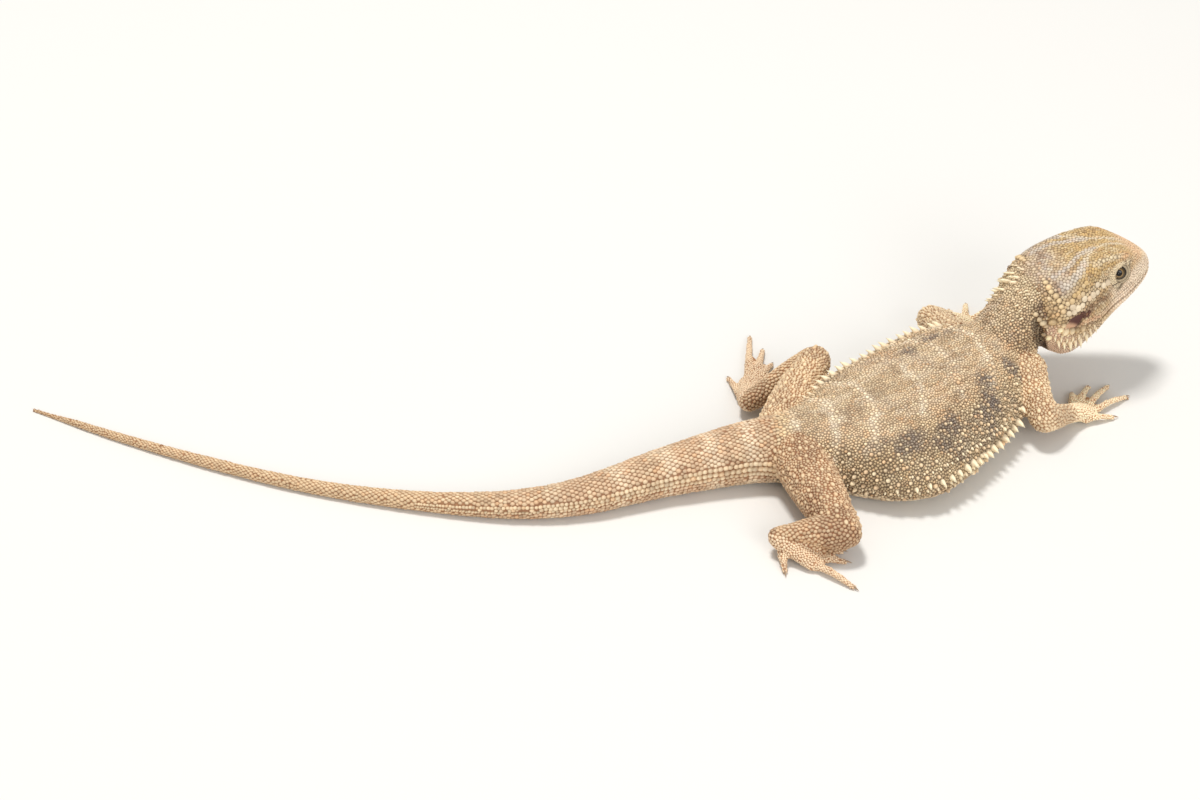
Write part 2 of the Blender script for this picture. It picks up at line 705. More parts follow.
def scale_shape(sides, rings, tip):
    """A closed scale of unit length and width, lying along +X with its root at the origin.

    rings lists (length share, width share, height, shift, shade) from the root up, and tip is
    (shift, height, shade). Shade runs from 0, the colour of the gaps, to 1, the scale's own colour.
    Returns its places, its triangles and its shades.
    """
    places, shades = [], []
    for long, wide, height, shift, shade in rings:
        for k in range(sides):
            angle = 2 * math.pi * k / sides
            places.append((0.5 * long * math.cos(angle) + shift, 0.5 * wide * math.sin(angle), height))
            shades.append(shade)
    places.append((tip[0], 0.0, tip[1]))
    shades.append(tip[2])
    return np.array(places, float), closed_tube(len(rings), sides), np.array(shades)


SHAPES = {
    # A small bead of the flanks and neck.
    "granule": scale_shape(6, ((1.0, 1.0, -0.5, 0.0, 0.0), (0.86, 0.86, 0.5, 0.02, 0.5)), (0.08, 1.0, 1.12)),
    # A low plate of the head, lips and belly.
    "plate": scale_shape(
        7, ((1.0, 1.0, -0.9, 0.0, 0.0), (0.97, 0.97, 0.3, 0.0, 0.35), (0.74, 0.74, 0.88, 0.02, 1.0)),
        (0.04, 1.0, 1.04),
    ),
    # A scale with a ridge along it that rises to its rear end.
    "keeled": scale_shape(
        6, ((1.0, 1.0, -0.7, 0.0, 0.0), (0.94, 0.92, 0.2, 0.04, 0.3), (0.66, 0.56, 0.72, 0.14, 1.0)),
        (0.46, 1.0, 1.2),
    ),
    # A raised cone that leans rearwards.
    "tubercle": scale_shape(
        7, ((1.0, 1.0, -0.4, 0.0, 0.0), (0.86, 0.84, 0.3, 0.04, 0.62), (0.5, 0.46, 0.72, 0.14, 1.0)),
        (0.26, 1.0, 1.16),
    ),
    # A sharp spine, long along +Z with its tip swept back.
    "spine": scale_shape(
        7, ((1.1, 1.1, -0.2, 0.0, 0.0), (0.86, 0.82, 0.12, 0.03, 0.6), (0.5, 0.46, 0.52, 0.18, 1.0)),
        (0.55, 1.0, 1.1),
    ),
}


ROW_STEP = 0.86  # distance between rows, as a share of the scales' width
BODY_REACH = 48.0  # millimetres from the backbone that holds all of the body
DIGIT_REACH = 2.4
WIDEST_GAP = 4.0  # between neighbouring rays that still meet the same surface
NEIGHBOURS = 8  # that a scale keeps clear of as it settles, itself among them
SETTLED_GAP = 1.06  # between the middles of settled scales, as a share of their reaches
GIVE_WAY = 0.42  # share of what is missing that a scale moves in one round
LONGEST_STEP = 0.5  # of one round, as a share of the scale's reach

Scale = namedtuple("Scale", "root normal lie width length height shape group point reach free")


class Coat:
    """Scales waiting to be made: where each is rooted, how it lies, and its size, shape and group."""

    CELL = 2.4  # millimetres

    def __init__(self):
        self.scales = []
        self.settling = False  # scales planted while this is true may shift when they settle
        self.cells = {}

    def column(self, name):
        """One property of all the scales, as an array."""
        return np.array([getattr(scale, name) for scale in self.scales])

    def cell(self, place):
        return tuple(int(math.floor(v / self.CELL)) for v in place)

    def hold(self, place, normal, reach):
        """Takes up room round a place."""
        self.cells.setdefault(self.cell(place), []).append((*place, *normal, reach))

    def room(self, place, normal, radius, tightness):
        """True if no scale that faces the same way is too near."""
        cx, cy, cz = self.cell(place)
        px, py, pz = place
        nx, ny, nz = normal
        near = range(-1, 2)
        for key in ((cx + i, cy + j, cz + k) for i in near for j in near for k in near):
            for x, y, z, u, v, w, other in self.cells.get(key, ()):
                reach = (radius + other) * tightness
                gap = (x - px) ** 2 + (y - py) ** 2 + (z - pz) ** 2
                if gap < reach * reach and u * nx + v * ny + w * nz > 0.1:
                    return False
        return True

    def add(
        self, place, normal, lie, width, shape, group, point,
        length=1.0, height=0.4, overlap=1.0, tightness=0.0,
    ):
        """Plants a scale, unless others are too near for the tightness.

        point is the skin's point that it takes its part from, length and height are shares of its
        width, and overlap is how far it spreads.
        """
        if tightness and not self.room(place, normal, width / 2, tightness):
            return
        self.hold(place, normal, width / 2)
        size = (width * overlap, width * length * overlap, width * height)
        self.scales.append(Scale(place, normal, lie, *size, shape, group, point, width / 2, self.settling))


def lying(lie, normal):
    """A direction laid flat on the surface."""
    flat = lie - normal * (lie @ normal)
    size = math.sqrt(flat @ flat)
    if size < 1e-6:
        flat = np.cross(normal, (0.3, 0.5, 0.8))
        size = math.sqrt(flat @ flat)
    return flat / size


def turned(lie, normal, angle):
    """A direction turned about the surface's normal."""
    return lie * math.cos(angle) + np.cross(normal, lie) * math.sin(angle)


def leaning(way, normal, angle):
    """A direction laid flat on the surface and then turned about its normal."""
    return turned(lying(way, normal), normal, angle)


def ring_of_roots(skin, place, outward_a, outward_b, reach, spacing, odd, owned, rays):
    """Roots round one cross-section of the body: evenly spaced along its outline, half a step on if odd."""
    hits = []
    for k in range(rays):
        angle = 2 * math.pi * k / rays
        found = skin.cast(place, outward_a * math.cos(angle) + outward_b * math.sin(angle), reach)
        hits.append(found[0] if found is not None and owned[skin.parts[found[2]]] else None)
    roots = []
    walked = 0.5 if odd else 0.0
    for k in range(rays):
        here, there = hits[k], hits[(k + 1) % rays]
        if here is None or there is None:
            continue
        gap = float(np.linalg.norm(there - here))
        if gap > WIDEST_GAP:
            continue
        step = gap / spacing
        while walked < step:
            roots.append(here + (there - here) * (walked / step))
            walked += 1.0
        walked -= step
    return roots


def body_ring(skin, station, spacing, odd, owned, rays):
    """Roots round the neck, trunk or tail at a station."""
    place, _, side = BODY.at(station)
    middle = profile(BACK_HEIGHT, station) * 0.45 + profile(SIDE_HEIGHT, station) * 0.55
    return ring_of_roots(skin, place + UP * middle, side, UP, BODY_REACH, spacing, odd, owned, rays)


# ---------------------------------------------------------------- markings

# Stations of the pale cross bands where they meet the backbone; they run rearwards towards the flanks.
TRUNK_BANDS = (22.0, 38.0, 55.0, 75.0, 88.0, 102.0)
BAND_BEND = 0.02  # millimetres rearwards for each square millimetre of distance from the backbone
TAIL_BANDS = (117.0, 132.0, 148.0, 166.0, 188.0)
# Charcoal patches: station, across (right is positive), half length along and across the body, strength.
DARK_PATCHES = (
    (33.0, 20.0, 4.5, 4.5, 1.0), (37.0, 26.5, 5.0, 5.0, 1.0), (43.0, 31.0, 6.0, 4.5, 0.9),
    (17.0, 17.0, 5.0, 4.0, 0.9),
    (60.0, 29.5, 6.0, 4.0, 0.95), (65.0, 33.0, 6.5, 5.0, 0.8), (75.0, 28.0, 6.0, 4.5, 0.9),
    (82.0, 23.0, 5.0, 3.5, 0.6), (62.0, 36.5, 6.0, 3.5, 0.7), (50.0, 33.0, 8.0, 4.5, 0.45),
    (26.0, 27.0, 5.0, 3.0, 0.5),
    (46.0, -8.5, 4.5, 3.2, 0.75), (33.0, -9.5, 5.5, 2.8, 0.8), (25.0, -5.5, 4.0, 2.4, 0.5),
    (60.0, -12.0, 6.0, 2.6, 0.4), (18.0, -16.0, 5.0, 4.0, 0.8), (36.0, -21.0, 6.0, 4.5, 0.9),
    (58.0, -21.0, 6.5, 4.5, 0.85), (76.0, -19.0, 6.0, 4.0, 0.7),
)
SHADOW_BEHIND_JAW = ((-3.2, 13.0, -3.4), (-2.6, 13.2, -8.0), (-1.6, 12.4, -12.5), (0.2, 11.2, -16.5))

# Lines of the head's pattern, in the head's frame; each is drawn on both sides.
CROWN_CURVE = ((40.0, 1.6, 8.4), (31.5, 2.2, 12.2), (26.5, 3.6, 13.2), (21.6, 6.8, 13.6), (18.4, 9.6, 13.0))
TEMPLE_STREAK = ((18.4, 9.6, 13.0), (15.4, 11.8, 11.9), (11.7, 13.2, 10.2), (8.6, 13.6, 8.8))
CROWN_STRIPE = ((26.0, 3.2, 13.3), (19.0, 4.8, 13.7), (14.2, 7.2, 13.1), (10.6, 8.2, 12.2), (6.5, 8.4, 11.0))
CHEEK_PLATES = (
    (26.0, 13.3, 3.4), (21.7, 14.9, 2.7), (19.0, 15.8, 2.2), (14.6, 17.2, 1.0), (11.7, 17.9, 0.3),
    (7.5, 18.0, -0.4),
)
BROW_RIDGE = ((36.5, 9.8, 9.4), (32.5, 10.8, 11.4), (27.0, 11.2, 12.6), (22.5, 11.6, 12.2))
GOLD_CHEEK = ((16.5, 14.2, 8.2), (12.1, 15.6, 5.9), (8.7, 16.2, 4.6), (6.1, 17.0, 2.0))
NECK_DARKS = (
    (((-3.4, 11.0, 6.8), (-2.8, 13.4, 2.2), (-2.2, 13.8, -2.4)), 1.8),
    (((-5.5, 12.4, 4.0), (-8.0, 12.8, -1.0), (-9.5, 12.6, -6.0)), 2.6),
    (((-10.0, 9.5, 3.0), (-12.5, 11.0, -2.0), (-14.0, 11.5, -6.0)), 2.4),
    (((1.4, 13.2, 5.6), (2.2, 15.6, 1.2), (2.6, 16.8, -2.4)), 1.1),
)
NECK_LIGHTS = (
    (((-1.2, 11.2, 6.6), (-0.8, 14.2, 2.0), (0.0, 15.6, -2.6)), 1.4),
    (((-5.0, 10.4, 6.0), (-5.0, 13.0, 1.0), (-4.6, 13.4, -3.5)), 1.3),
    (((-8.4, 10.4, 4.6), (-11.0, 12.0, -1.5)), 1.4),
)
EAR_FRONT = ((12.4, 18.2, -2.4), (15.4, 17.8, -3.4))
EAR_FOLD = ((7.5, 18.2, -7.4), (12.0, 18.1, -6.4), (17.0, 17.0, -6.8), (21.5, 15.8, -8.2))
EAR_FOLD_EDGE = ((8.0, 17.9, -8.7), (14.0, 17.6, -8.3), (20.0, 16.4, -9.4))
TEMPLE_EDGE = ((3.2, 8.6, 10.0), (3.6, 11.6, 8.0), (4.6, 14.2, 6.0), (5.4, 16.0, 3.4), (5.8, 17.6, -0.6))
# Single spots of the right side of the head: place, reach, colour and strength.
HEAD_SPOTS = (
    ((20.4, 1.0, 13.9), 0.75, "charcoal", 0.7), ((17.3, 7.3, 13.4), 1.0, "umber", 0.75),
    ((31.2, 11.2, 11.2), 0.7, "charcoal", 0.8), ((7.7, 4.1, 11.6), 1.2, "pale", 0.9),
)


def washed(colour, *washes):
    """A colour with others laid over it in turn, each given as (colour, share)."""
    for wash, share in washes:
        colour = mix(colour, wash, share)
    return colour


def shifted(line, ahead, wide, high):
    """A line of the head's frame, shifted."""
    return tuple((a + ahead, w + wide, h + high) for a, w, h in line)


def near_line(local, line, reach):
    """1 on a line of the head and 0 from reach millimetres away, on both sides."""
    gap, _ = distance_to_line(folded(local), along_line(line, 0.8))
    return 1 - ramp(0.35 * reach, reach, gap)


def near_spot(local, spot, inner, outer):
    """1 near a spot of the head's frame and 0 from outer millimetres away."""
    return 1 - ramp(inner, outer, np.linalg.norm(local - np.array(spot), axis=-1))


def lid_ring(local):
    """How far each place is from the nearer eye's middle, and its angle in degrees from the lid's axis."""
    far, turn = np.full(len(local), 99.0), np.full(len(local), 180.0)
    for side, sign in (("right", 1), ("left", -1)):
        offset = local - np.array(EYE_AT) * (1, sign, 1)
        size = np.linalg.norm(offset, axis=1)
        cosine = offset @ unit(np.array(LID_AXIS[side])) / np.maximum(size, 1e-6)
        angle = np.degrees(np.arccos(np.clip(cosine, -1, 1)))
        nearer = size < far
        far, turn = np.where(nearer, size, far), np.where(nearer, angle, turn)
    return far, turn


def face_ground(places, local):
    """The broad colours of the head, from the crown to the snout, under its lines and spots."""
    ahead, wide, high = folded(local).T
    grain, broad, fleck = layered(places, 3.2, 41), layered(places, 8.0, 43), noise(places, 1.25, 45)
    crown = ramp(6.5, 10.0, high)
    temple = bump(8.5, 5.0, high) * bump(9.0, 9.0, ahead) * ramp(9.0, 12.0, wide)
    cheek = ramp(30.0, 25.0, ahead) * ramp(13.0, 10.0, high) * ramp(-1.0, 3.5, high) * ramp(11.0, 13.5, wide)
    under_eye = bump(-1.4, 3.4, high) * ramp(11.0, 15.0, ahead) * ramp(29.0, 24.0, ahead)
    behind_snout = ramp(40.0, 34.0, ahead)
    return washed(
        mix(mix(hue.sand, hue.gold, 0.35), hue.olive, 0.35 * broad),
        (mix(hue.gold * 1.1, hue.olive * 1.1, 0.75 * grain), 0.75 * crown * ramp(3, 12, ahead)),
        (mix(hue.lavender, hue.sand, grain), 0.7 * crown * ramp(17.0, 9.0, ahead)),
        (mix(hue.lavender, hue.grey, 0.5 * grain), 0.85 * temple),
        (mix(hue.cream, hue.sand, 0.5 * grain + 0.15), 0.9 * ramp(36.0, 44.0, ahead)),
        (mix(hue.gold, hue.olive, 0.7 * grain), 0.6 * cheek * ramp(5, 14, ahead)),
        (mix(hue.olive, hue.umber, 0.6 + 0.4 * grain), 0.92 * under_eye),
        (hue.cream * 1.05, 0.45 * ramp(0.62, 0.8, fleck) * behind_snout),
        (hue.umber, 0.5 * ramp(0.38, 0.2, fleck) * behind_snout),
    )


def face_lines(colour, local, raised):
    """The streaks of the crown, the pale ridges and the bright rows of large scales."""
    ahead, wide, high = folded(local).T
    big = ramp(0.1, 0.4, raised)
    brow = bump(35.0, 6.0, ahead) * bump(9.6, 2.8, high) * ramp(6.5, 9.0, wide)
    cheek = near_line(local, shifted(CHEEK_PLATES, 0, -0.4, 1.5), 3.4)
    return washed(
        colour,
        (mix(hue.cream, hue.pale, 0.5), 0.8 * near_line(local, CROWN_CURVE, 1.2)),
        (mix(hue.lavender, hue.pale, 0.6), 0.95 * near_line(local, TEMPLE_STREAK, 2.1)),
        (mix(hue.lavender, hue.pale, 0.5), 0.85 * near_line(local, CROWN_STRIPE, 1.6)),
        (hue.cream * 1.02, 0.85 * near_line(local, BROW_RIDGE, 1.9)),
        (hue.orange, 0.6 * brow),
        (mix(hue.gold, hue.cream, 0.25), 0.8 * near_line(local, GOLD_CHEEK, 2.0) * big),
        (hue.cream * (1.08, 1.08, 1.14), (0.4 + 0.6 * big) * cheek),
        (mix(hue.cream, hue.gold, 0.4), (0.5 + 0.45 * raised) * near_line(local, TEMPLE_EDGE, 2.4)),
    )


def jaw_and_lips(colour, places, local, raised, above_lip):
    """The pale lips, the pink jaw and pouch, and the golden scales of the jowl."""
    ahead, _, high = local.T
    grain, fleck = layered(places, 3.2, 41), noise(places, 1.25, 45)
    jaw = ramp(-1.5, -4.0, above_lip)
    jowl = ramp(12.0, 6.0, ahead) * ramp(-3.0, -6.0, high)
    plain = mix(mix(hue.pink * 1.15, hue.umber, 0.12), hue.cream * 1.1, 0.5 * grain)
    golden = mix(hue.cream * 1.4, hue.gold * 1.15, 0.45 * fleck)
    return washed(
        colour,
        (
            mix(hue.cream * (1.0, 0.93, 0.84), hue.pink, 0.35 + 0.2 * grain),
            0.8 * bump(0.2, 3.4, above_lip) * ramp(9.0, 24.0, ahead),
        ),
        (mix(hue.pink * 0.9, hue.cream * 0.9, 0.5 + 0.35 * grain), 0.85 * jaw),
        (
            mix(hue.pink * 1.1, hue.lavender * 1.1, 0.4),
            0.75 * jaw * ramp(-12.0, -16.0, high) * ramp(20.0, 10.0, ahead),
        ),
        (mix(plain, golden, raised), 0.95 * jowl),
        *((getattr(hue, name), share * near_spot(local, spot, 0.4 * reach, reach))
          for spot, reach, name, share in HEAD_SPOTS),
    )


def head_tone(places, raised):
    """Colours of the head and the jaw."""
    local = to_head(places)
    ahead, _, high = local.T
    above_lip = high - np.interp(ahead, HEAD_STATIONS, [p[1] for p in LIP])
    grain = layered(places, 3.2, 41)
    big = ramp(0.1, 0.4, raised)
    colour = face_lines(face_ground(places, local), local, raised)
    colour = jaw_and_lips(colour, places, local, raised, above_lip)
    far, turn = lid_ring(local)
    lid = ramp(7.4, 6.2, far) * ramp(84.0, 76.0, turn)
    below = ramp(EYE_AT[2] + 1.5, EYE_AT[2] - 1.5, high)
    lids = washed(
        hue.cream * 1.25,
        (mix(hue.lavender, hue.olive, 0.5), 0.3 * ramp(52.0, 60.0, turn) * below),
        (hue.umber * 0.25, 0.95 * bump(52.0, 4.6, turn)),
        (hue.umber * 0.25, 0.95 * bump(73.0, 7.5, turn) * (0.7 + 0.3 * below)),
    )
    snout = ramp(36.0, 44.0, ahead)
    muzzle = ramp(24.0, 31.0, ahead) * ramp(4.5, 0.5, high) * ramp(-9.0, -6.0, above_lip) * (1 - lid)
    upper = ramp(-3.5, -1.0, above_lip) * ramp(2.0, 8.0, ahead)
    colour = washed(
        colour, (lids, 0.95 * lid), (mix(hue.pale * 1.12, hue.pink, 0.25 + 0.25 * grain), 0.85 * muzzle)
    )
    return washed(
        colour * (1 - 0.16 * upper * (1 - snout) * (1 - muzzle))[:, None],
        (mix(hue.orange, hue.pink, 0.4), 0.55 * snout * ramp(1.0, 6.0, high)),
        (mix(hue.pink, hue.orange, 0.5) * 0.85, 0.7 * near_line(local, EAR_FOLD, 1.2)),
        (hue.umber * 0.6, 0.75 * near_line(local, EAR_FOLD_EDGE, 0.9) * (1 - big)),
        (hue.charcoal * 0.25, near_spot(folded(local), NOSTRIL_AT, 0.55, 1.0)),
        (hue.umber * 0.6, 0.7 * near_spot(folded(local), EAR_AT, 2.7, 3.8) * (1 - big)),
        (hue.umber * (0.35, 0.2, 0.2), near_line(local, EAR_FRONT, 2.2)),
    )


def band_share(places, station, across):
    """How much of a pale cross band lies at each place of the trunk and the tail."""
    wobble = station + 4.6 * (noise(places, 4.5, 71) - 0.5)
    bent = wobble - BAND_BEND * np.minimum(np.abs(across), 22) ** 2
    share = np.zeros(len(places))
    for middle in TRUNK_BANDS:
        band = bump(middle, 3.0, bent) * ramp(27.0, 19.0, np.abs(across)) * ramp(106, 102, station)
        share = np.maximum(share, band)
    share = share * (0.35 + 0.55 * ramp(0.3, 0.55, noise(places, 3.6, 72)))
    for middle in TAIL_BANDS:
        strength = float(np.interp(middle, (112, 150, 190), (0.62, 0.5, 0.3)))
        share = np.maximum(share, strength * bump(middle, 5.0, wobble) * ramp(102, 106, station))
    return share


def dark_share(places, station, across):
    """How much of a charcoal patch lies at each place of the trunk."""
    ragged_along = station + 5.0 * (noise(places, 4.5, 73) - 0.5)
    ragged_across = across + 5.0 * (noise(places, 4.5, 79) - 0.5)
    share = np.zeros(len(places))
    for along, over, half_along, half_over, strength in DARK_PATCHES:
        reach = ((ragged_along - along) / half_along) ** 2 + ((ragged_across - over) / half_over) ** 2
        share = np.maximum(share, strength * ramp(1.25, 0.45, np.sqrt(reach)))
    return share * (0.7 + 0.3 * layered(places, 2.4, 97))


def body_tone(places, normals, station, across, raised):
    """Colours of the neck, the trunk and the tail."""
    out = np.abs(across) / half_width(station, across)
    high = places[:, 2]
    on_trunk = ramp(106.0, 100.0, station)
    grain, broad = layered(places, 3.0, 61), layered(places, 10.0, 67)
    streak = layered(np.stack([station * 0.25, across, high * 0.3], axis=1), 1.6, 69)
    brown = ramp(0.5, 0.75, layered(places, 7.0, 63))
    # The flanks are greener and darker than the back, with brown along their lower edge.
    flank = ramp(0.5, 0.78, out) * on_trunk * ramp(5, 13, station)
    rim = ramp(11.0, 5.0, high) * ramp(0.8, 0.93, out) * on_trunk
    dark = dark_share(places, station, across) * on_trunk
    band = band_share(places, station, across)
    plain_tail = ramp(104.0, 110.0, station) * ramp(250.0, 200.0, station)
    ground = washed(
        mix(hue.sand * 1.45, hue.olive * 1.35, 0.45 * broad),
        (mix(hue.umber, hue.sand, 0.45), 0.55 * brown * on_trunk),
        (hue.grey * 1.3, 0.2 * grain * on_trunk),
        (mix(hue.grey, hue.olive, 0.5), 0.4 * ramp(0.5, 0.72, streak) * on_trunk),
        (hue.pale, 0.4 * ramp(0.5, 0.36, streak) * on_trunk * ramp(0.7, 0.4, out)),
        (mix(hue.olive * 1.2, hue.charcoal, 0.08 + 0.3 * grain), 0.5 * flank * (1 - raised)),
        (mix(hue.umber, hue.sand, 0.5), 0.7 * rim * (1 - raised)),
        (mix(hue.charcoal, hue.lavender, 0.16 + 0.14 * grain), 0.97 * dark * (1 - 0.7 * raised)),
    )
    # Raised scales: cream on the flanks, and some warm orange ones higher up.
    cream = mix(hue.cream * 1.08, mix(hue.gold, hue.pink, 0.5), 0.6 * ramp(0.3, 0.7, noise(places, 1.9, 83)))
    paler = raised * (0.45 + 0.5 * ramp(0.45, 0.7, out))
    paler = paler * (0.7 + 0.3 * ramp(0.35, 0.65, noise(places, 2.3, 84)))
    speck = ramp(0.6, 0.78, noise(places, 1.7, 85)) * on_trunk * (1 - dark) * (1 - raised)
    warm = ramp(0.50, 0.68, noise(places, 3.4, 89)) * bump(0.5, 0.36, out) * on_trunk
    belly = ramp(-0.35, -0.7, normals[:, 2]) * ramp(140.0, 120.0, station)
    return washed(
        ground * (1 - 0.18 * plain_tail)[:, None],
        (mix(hue.umber, hue.pink, 0.5), 0.45 * plain_tail * (1 - band)),
        (hue.pale * (1 + 0.14 * on_trunk)[:, None], band * (0.82 + 0.18 * raised)),
        (mix(hue.sand, hue.umber, 0.12), 0.7 * ramp(190.0, 250.0, station)),
        (cream, paler * (1 - 0.4 * dark) * on_trunk),
        (hue.cream * 1.05, 0.5 * speck),
        (mix(hue.cream, hue.sand, 0.25), 0.6 * raised * (1 - on_trunk)),
        (mix(hue.orange, hue.cream, 0.45), (0.4 + 0.35 * raised) * warm * (1 - dark)),
        (mix(hue.cream, hue.grey, 0.25 + 0.25 * grain), 0.8 * belly),
    )


def neck_tone(places, raised):
    """Colours of the neck: streaks of brown and olive between paler folds, and a cream nape."""
    local = to_head(places)
    ahead, wide, high = folded(local).T
    grain = layered(places, 2.6, 91)
    streak = layered(np.stack([ahead * 1.5, wide * 0.8, high * 0.45], axis=1), 3.0, 93)
    side = ramp(9.5, 12.5, wide)
    top = ramp(13.0, 9.5, wide) * ramp(-18.0, -10.0, ahead)
    dark, light = mix(hue.umber * 0.7, hue.charcoal, 0.4), mix(hue.cream, hue.gold, 0.35)
    return washed(
        mix(hue.sand * (1.15, 1.1, 1.0), hue.olive, 0.3 + 0.3 * grain) * (0.74, 0.63, 0.54),
        *((dark, 0.92 * near_line(local, line, reach)) for line, reach in NECK_DARKS),
        *((light, 0.65 * near_line(local, line, reach)) for line, reach in NECK_LIGHTS),
        (mix(hue.umber, hue.charcoal, 0.4), 0.92 * ramp(0.44, 0.58, streak) * side * (1 - 0.6 * raised)),
        (mix(hue.cream * 1.1, hue.gold, 0.25), 0.85 * ramp(0.4, 0.27, streak) * side),
        (mix(hue.cream * 1.15, hue.sand, 0.35 * grain), (0.85 + 0.15 * raised) * top),
        (hue.cream, 0.45 * raised),
    )


def limb_tone(places, names, raised):
    """Colours of the arms, legs, hands and feet."""
    grain, broad = layered(places, 2.2, 101), layered(places, 8.0, 103)
    brown = mix(hue.umber, hue.sand, 0.35)
    regions = (("foot",), ("hand",), ("thigh",), ("upper_arm", "forearm"))
    foot, hand, thigh, arm = (1.0 * np.isin(names, flesh(*parts)) for parts in regions)
    near_leg = np.isin(names, ("thigh_right", "shin_right"))[:, None]
    return washed(
        mix(mix(hue.sand, hue.orange, 0.14) * (0.98, 0.93, 0.88), hue.cream, 0.25 + 0.4 * grain),
        (brown, 0.6 * ramp(0.48, 0.72, broad)),
        (mix(hue.cream * 1.15, hue.pink, 0.4), 0.7 * foot),
        (mix(hue.cream * 1.4, hue.pink, 0.25), 0.85 * hand),
        (brown, 0.35 * ramp(0.4, 0.7, noise(places, 1.6, 107)) * thigh * (1 - raised)),
        (mix(hue.cream * 1.05, hue.gold, 0.4 * grain), 0.6 * raised),
        (hue.cream, 0.3 * arm),
    ) * (1 - near_leg * (0.1, 0.14, 0.15))


def hide_tone(places, normals, parts, raised):
    """The animal's colour at each place: the skin and the scales both take theirs from here."""
    names = np.array(FLESH)[parts]
    colour = np.zeros((len(places), 3))
    on_head, on_body, on_limb = (np.isin(names, group) for group in (HEAD_PARTS, BODY_PARTS, LIMB_PARTS))
    station, across = BODY.locate(places)
    if on_head.any():
        colour[on_head] = head_tone(places[on_head], raised[on_head])
    if on_body.any():
        colour[on_body] = body_tone(
            places[on_body], normals[on_body], station[on_body], across[on_body], raised[on_body]
        )
        on_neck = on_body & (station < NECK_COAT)
        share = ramp(8.0, 1.0, station[on_neck])
        colour[on_neck] = mix(colour[on_neck], neck_tone(places[on_neck], raised[on_neck]), share)
    if on_limb.any():
        colour[on_limb] = limb_tone(places[on_limb], names[on_limb], raised[on_limb])
    gap, _ = distance_to_line(folded(to_head(places)), SHADOW_BEHIND_JAW)
    return mix(colour, hue.charcoal * 0.3, 0.95 * (1 - ramp(0.9, 2.9, gap)))


# ---------------------------------------------------------------- planting the scales

def limb_lines():
    """For each limb piece, the lines that its scales follow, each from near the trunk to its far end."""
    lines = {}
    for limb, table in LIMBS.items():
        kind, side = limb.split("_")
        joints = [np.array(j) for j in table["joints"]]
        ball = np.array(table["ball"])
        first, second, last = (f"{n}_{side}" for n in SEGMENTS[kind])
        lines[first] = [(joints[0], joints[1])]
        lines[second] = [(joints[1], joints[2])]
        lines[last] = [(joints[2], ball)]
        for root, tip in table["digits"]:
            lines[last].append((np.array((*root, DIGIT_ROOT_HEIGHT)), np.array((*tip, DIGIT_REST))))
    return lines


